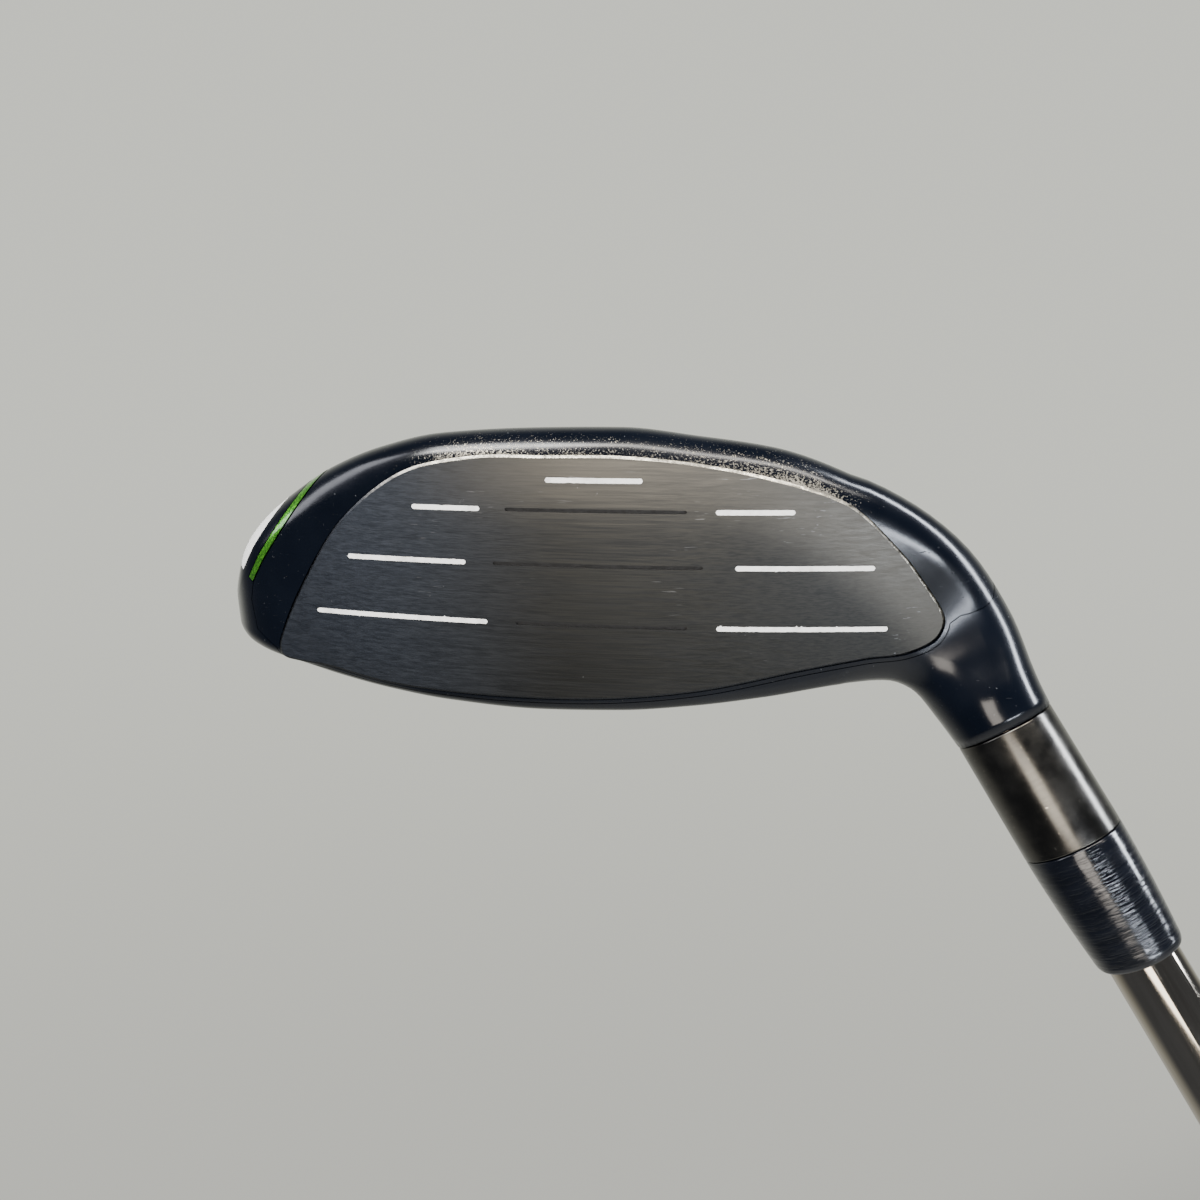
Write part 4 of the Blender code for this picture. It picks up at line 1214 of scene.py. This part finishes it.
def padTree():
    tree = bpy.data.node_groups.new("grip pads", "GeometryNodeTree")
    inputs = {"Around": "Int", "Rows": "Int", "Start": "Float", "Length": "Float", "Narrow": "Float",
              "Wide": "Float", "Pad Size": "Float", "Pad Height": "Float", "Material": "Material"}
    for name, kind in inputs.items():
        tree.interface.new_socket(name=name, in_out="INPUT", socket_type="NodeSocket" + kind)
    tree.interface.new_socket(name="Geometry", in_out="OUTPUT", socket_type="NodeSocketGeometry")
    given = addNode(tree, "NodeGroupInput").outputs
    index = addNode(tree, "GeometryNodeInputIndex").outputs[0]
    row = maths("FLOOR", maths("DIVIDE", index, given["Around"]))
    column = maths("MODULO", index, given["Around"])
    shift = times(maths("MODULO", row, 2.0), 0.5)
    turn = maths("DIVIDE", times(plus(column, shift), fullTurn), given["Around"])
    share = maths("DIVIDE", row, given["Rows"])
    height = plus(given["Start"], times(share, given["Length"]))
    bend = maths("POWER", minus(1.0, share), 0.85)
    size = plus(given["Narrow"], times(bend, minus(given["Wide"], given["Narrow"])))
    place = addNode(tree, "ShaderNodeCombineXYZ", {
        0: times(size, maths("COSINE", turn)),
        1: times(size, maths("SINE", turn)), 2: height}).outputs[0]
    points = addNode(tree, "GeometryNodePoints", {
        "Count": times(given["Around"], given["Rows"]), "Position": place})
    padShape = addNode(tree, "ShaderNodeCombineXYZ", {
        0: given["Pad Height"], 1: given["Pad Size"], 2: given["Pad Size"]})
    cube = addNode(tree, "GeometryNodeMeshCube", {"Size": padShape.outputs[0]})
    diamond = addNode(tree, "GeometryNodeTransform", {
        "Geometry": cube.outputs[0], "Rotation": (pi / 4, 0, 0), "Scale": (1.0, 1.0, 1.5)})
    facing = addNode(tree, "ShaderNodeCombineXYZ", {2: turn})
    laid = addNode(tree, "GeometryNodeInstanceOnPoints", {
        "Points": points.outputs[0], "Instance": diamond.outputs[0], "Rotation": facing.outputs[0]})
    real = addNode(tree, "GeometryNodeRealizeInstances", {"Geometry": laid.outputs[0]})
    coloured = addNode(tree, "GeometryNodeSetMaterial", {
        "Geometry": real.outputs[0], "Material": given["Material"]})
    addNode(tree, "NodeGroupOutput", {"Geometry": coloured.outputs[0]})
    return tree


patternStart, patternEnd = low + 0.034, high - 0.016
tree = padTree()
carrier = pieceFromMesh("grip_pads", bpy.data.meshes.new("grip_pads"))
modifier = carrier.modifiers.new("pads", "NODES")
modifier.node_group = tree
values = {"Around": grip["padsAround"], "Rows": grip["padRows"], "Start": patternStart,
          "Length": patternEnd - patternStart, "Narrow": gripRadius(patternEnd),
          "Wide": gripRadius(patternStart), "Pad Size": grip["padSize"],
          "Pad Height": grip["padHeight"] * 2, "Material": looks["rubber"]}
for item in tree.interface.items_tree:
    if item.item_type == "SOCKET" and item.in_out == "INPUT":
        modifier[item.identifier] = values[item.name]
bpy.context.view_layer.update()
padMesh = bpy.data.meshes.new_from_object(carrier.evaluated_get(bpy.context.evaluated_depsgraph_get()))
carrier.modifiers.clear()
carrier.data = padMesh
standFor(carrier, "rubber")
print("grip pattern ready")

# hidden pieces keep their own solids
for node, material, slotName in (("tip_plug", "nylon", "nylon"), ("grip_tape", "tape", "tape"),
                                 ("screw_seal", "seal", "rubber")):
    obj = frame["nodes"][node]
    obj.data.materials.clear()
    obj.data.materials.append(looks[material])

discard(skin, hollow, underInlay, behindCup, openFace, cupRegion, cupOpening, cupClearance,
        crownSpace, crownOpening, panelSpace, panelOpening, accentSpace, badgeSpace, accentOpening,
        badgeOpening, boss, headHole, shankHole, drive)
for obj in list(bpy.data.objects):
    if obj.name.startswith("bore"):
        discard(obj)

# stage: a pale floor that fades into an even studio grey

floor = pieceFromMesh("floor", bpy.data.meshes.new("floor"))
bm = bmesh.new()
bmesh.ops.create_circle(bm, cap_ends=True, segments=96, radius=2.6)
bm.to_mesh(floor.data)
bm.free()
material, place = startMaterial("pale_floor")
away = addNode(treeOf(place), "ShaderNodeVectorMath", {0: place}, operation="LENGTH").outputs["Value"]
connect(material.node_tree.nodes["Principled BSDF"], {
    "Base Color": linear("c9c9c6"), "Roughness": 0.8, "Alpha": span(away, 0.9, 1.9, 1.0, 0.0)})
floor.data.materials.append(material)

world = bpy.data.worlds.new("studio")
bpy.context.scene.world = world
world.use_nodes = True
tree = world.node_tree
direction = addNode(tree, "ShaderNodeTexCoord").outputs["Generated"]
behind, above = (addNode(tree, "ShaderNodeVectorMath", {0: direction, 1: way},
                         operation="DOT_PRODUCT").outputs["Value"] for way in (look, upward))
pale = tint("adada6", "c2c3ba", above, -0.55, 0.15)
colour = mixColour(span(behind, 0.05, 0.80), "484a4e", pale)
background = tree.nodes["Background"]
tree.links.new(colour, background.inputs["Color"])
background.inputs["Strength"].default_value = 1.52


def addLight(name, place, size, power, code, along=(0, 1, 0)):  # right, up and back from the head
    data = bpy.data.lights.new(name, "AREA")
    data.shape = "RECTANGLE"
    data.size, data.size_y = size
    data.energy = power
    data.color = linear(code)[:3]
    obj = bpy.data.objects.new(name, data)
    bpy.context.scene.collection.objects.link(obj)

    def turned(right, up, back):
        return sideways * right + upward * up - look * back
    spot = turned(*place)
    aim = -spot.normalized()
    across = aim.cross(turned(*along)).normalized()
    obj.matrix_world = (Matrix.Translation(headCentre + spot)
                        @ Matrix((across, across.cross(aim), -aim)).transposed().to_4x4())


addLight("sky strip", (-0.05, 0.62, 0.72), (1.3, 0.14), 17.0, "fffaf2")
addLight("front panel", (-0.20, -0.22, 0.95), (0.42, 0.40), 5.0, "fff6ea", (0.940, 0.342, 0.0))
addLight("heel box", (0.41, -0.30, 0.83), (0.045, 0.46), 4.2, "eaf2ff", (0.96, 0.28, 0.0))
addLight("window strip", (0.60, 0.33, 0.16), (0.10, 0.60), 9.0, "eef4ff", (0.447, -0.894, 0.0))
addLight("left box", (-0.90, 0.30, 0.35), (0.25, 0.8), 5.0, "f4f6ff")
addLight("upper left box", (-0.55, 0.75, 0.75), (0.5, 0.4), 14.0, "ffffff")
print("stage ready")
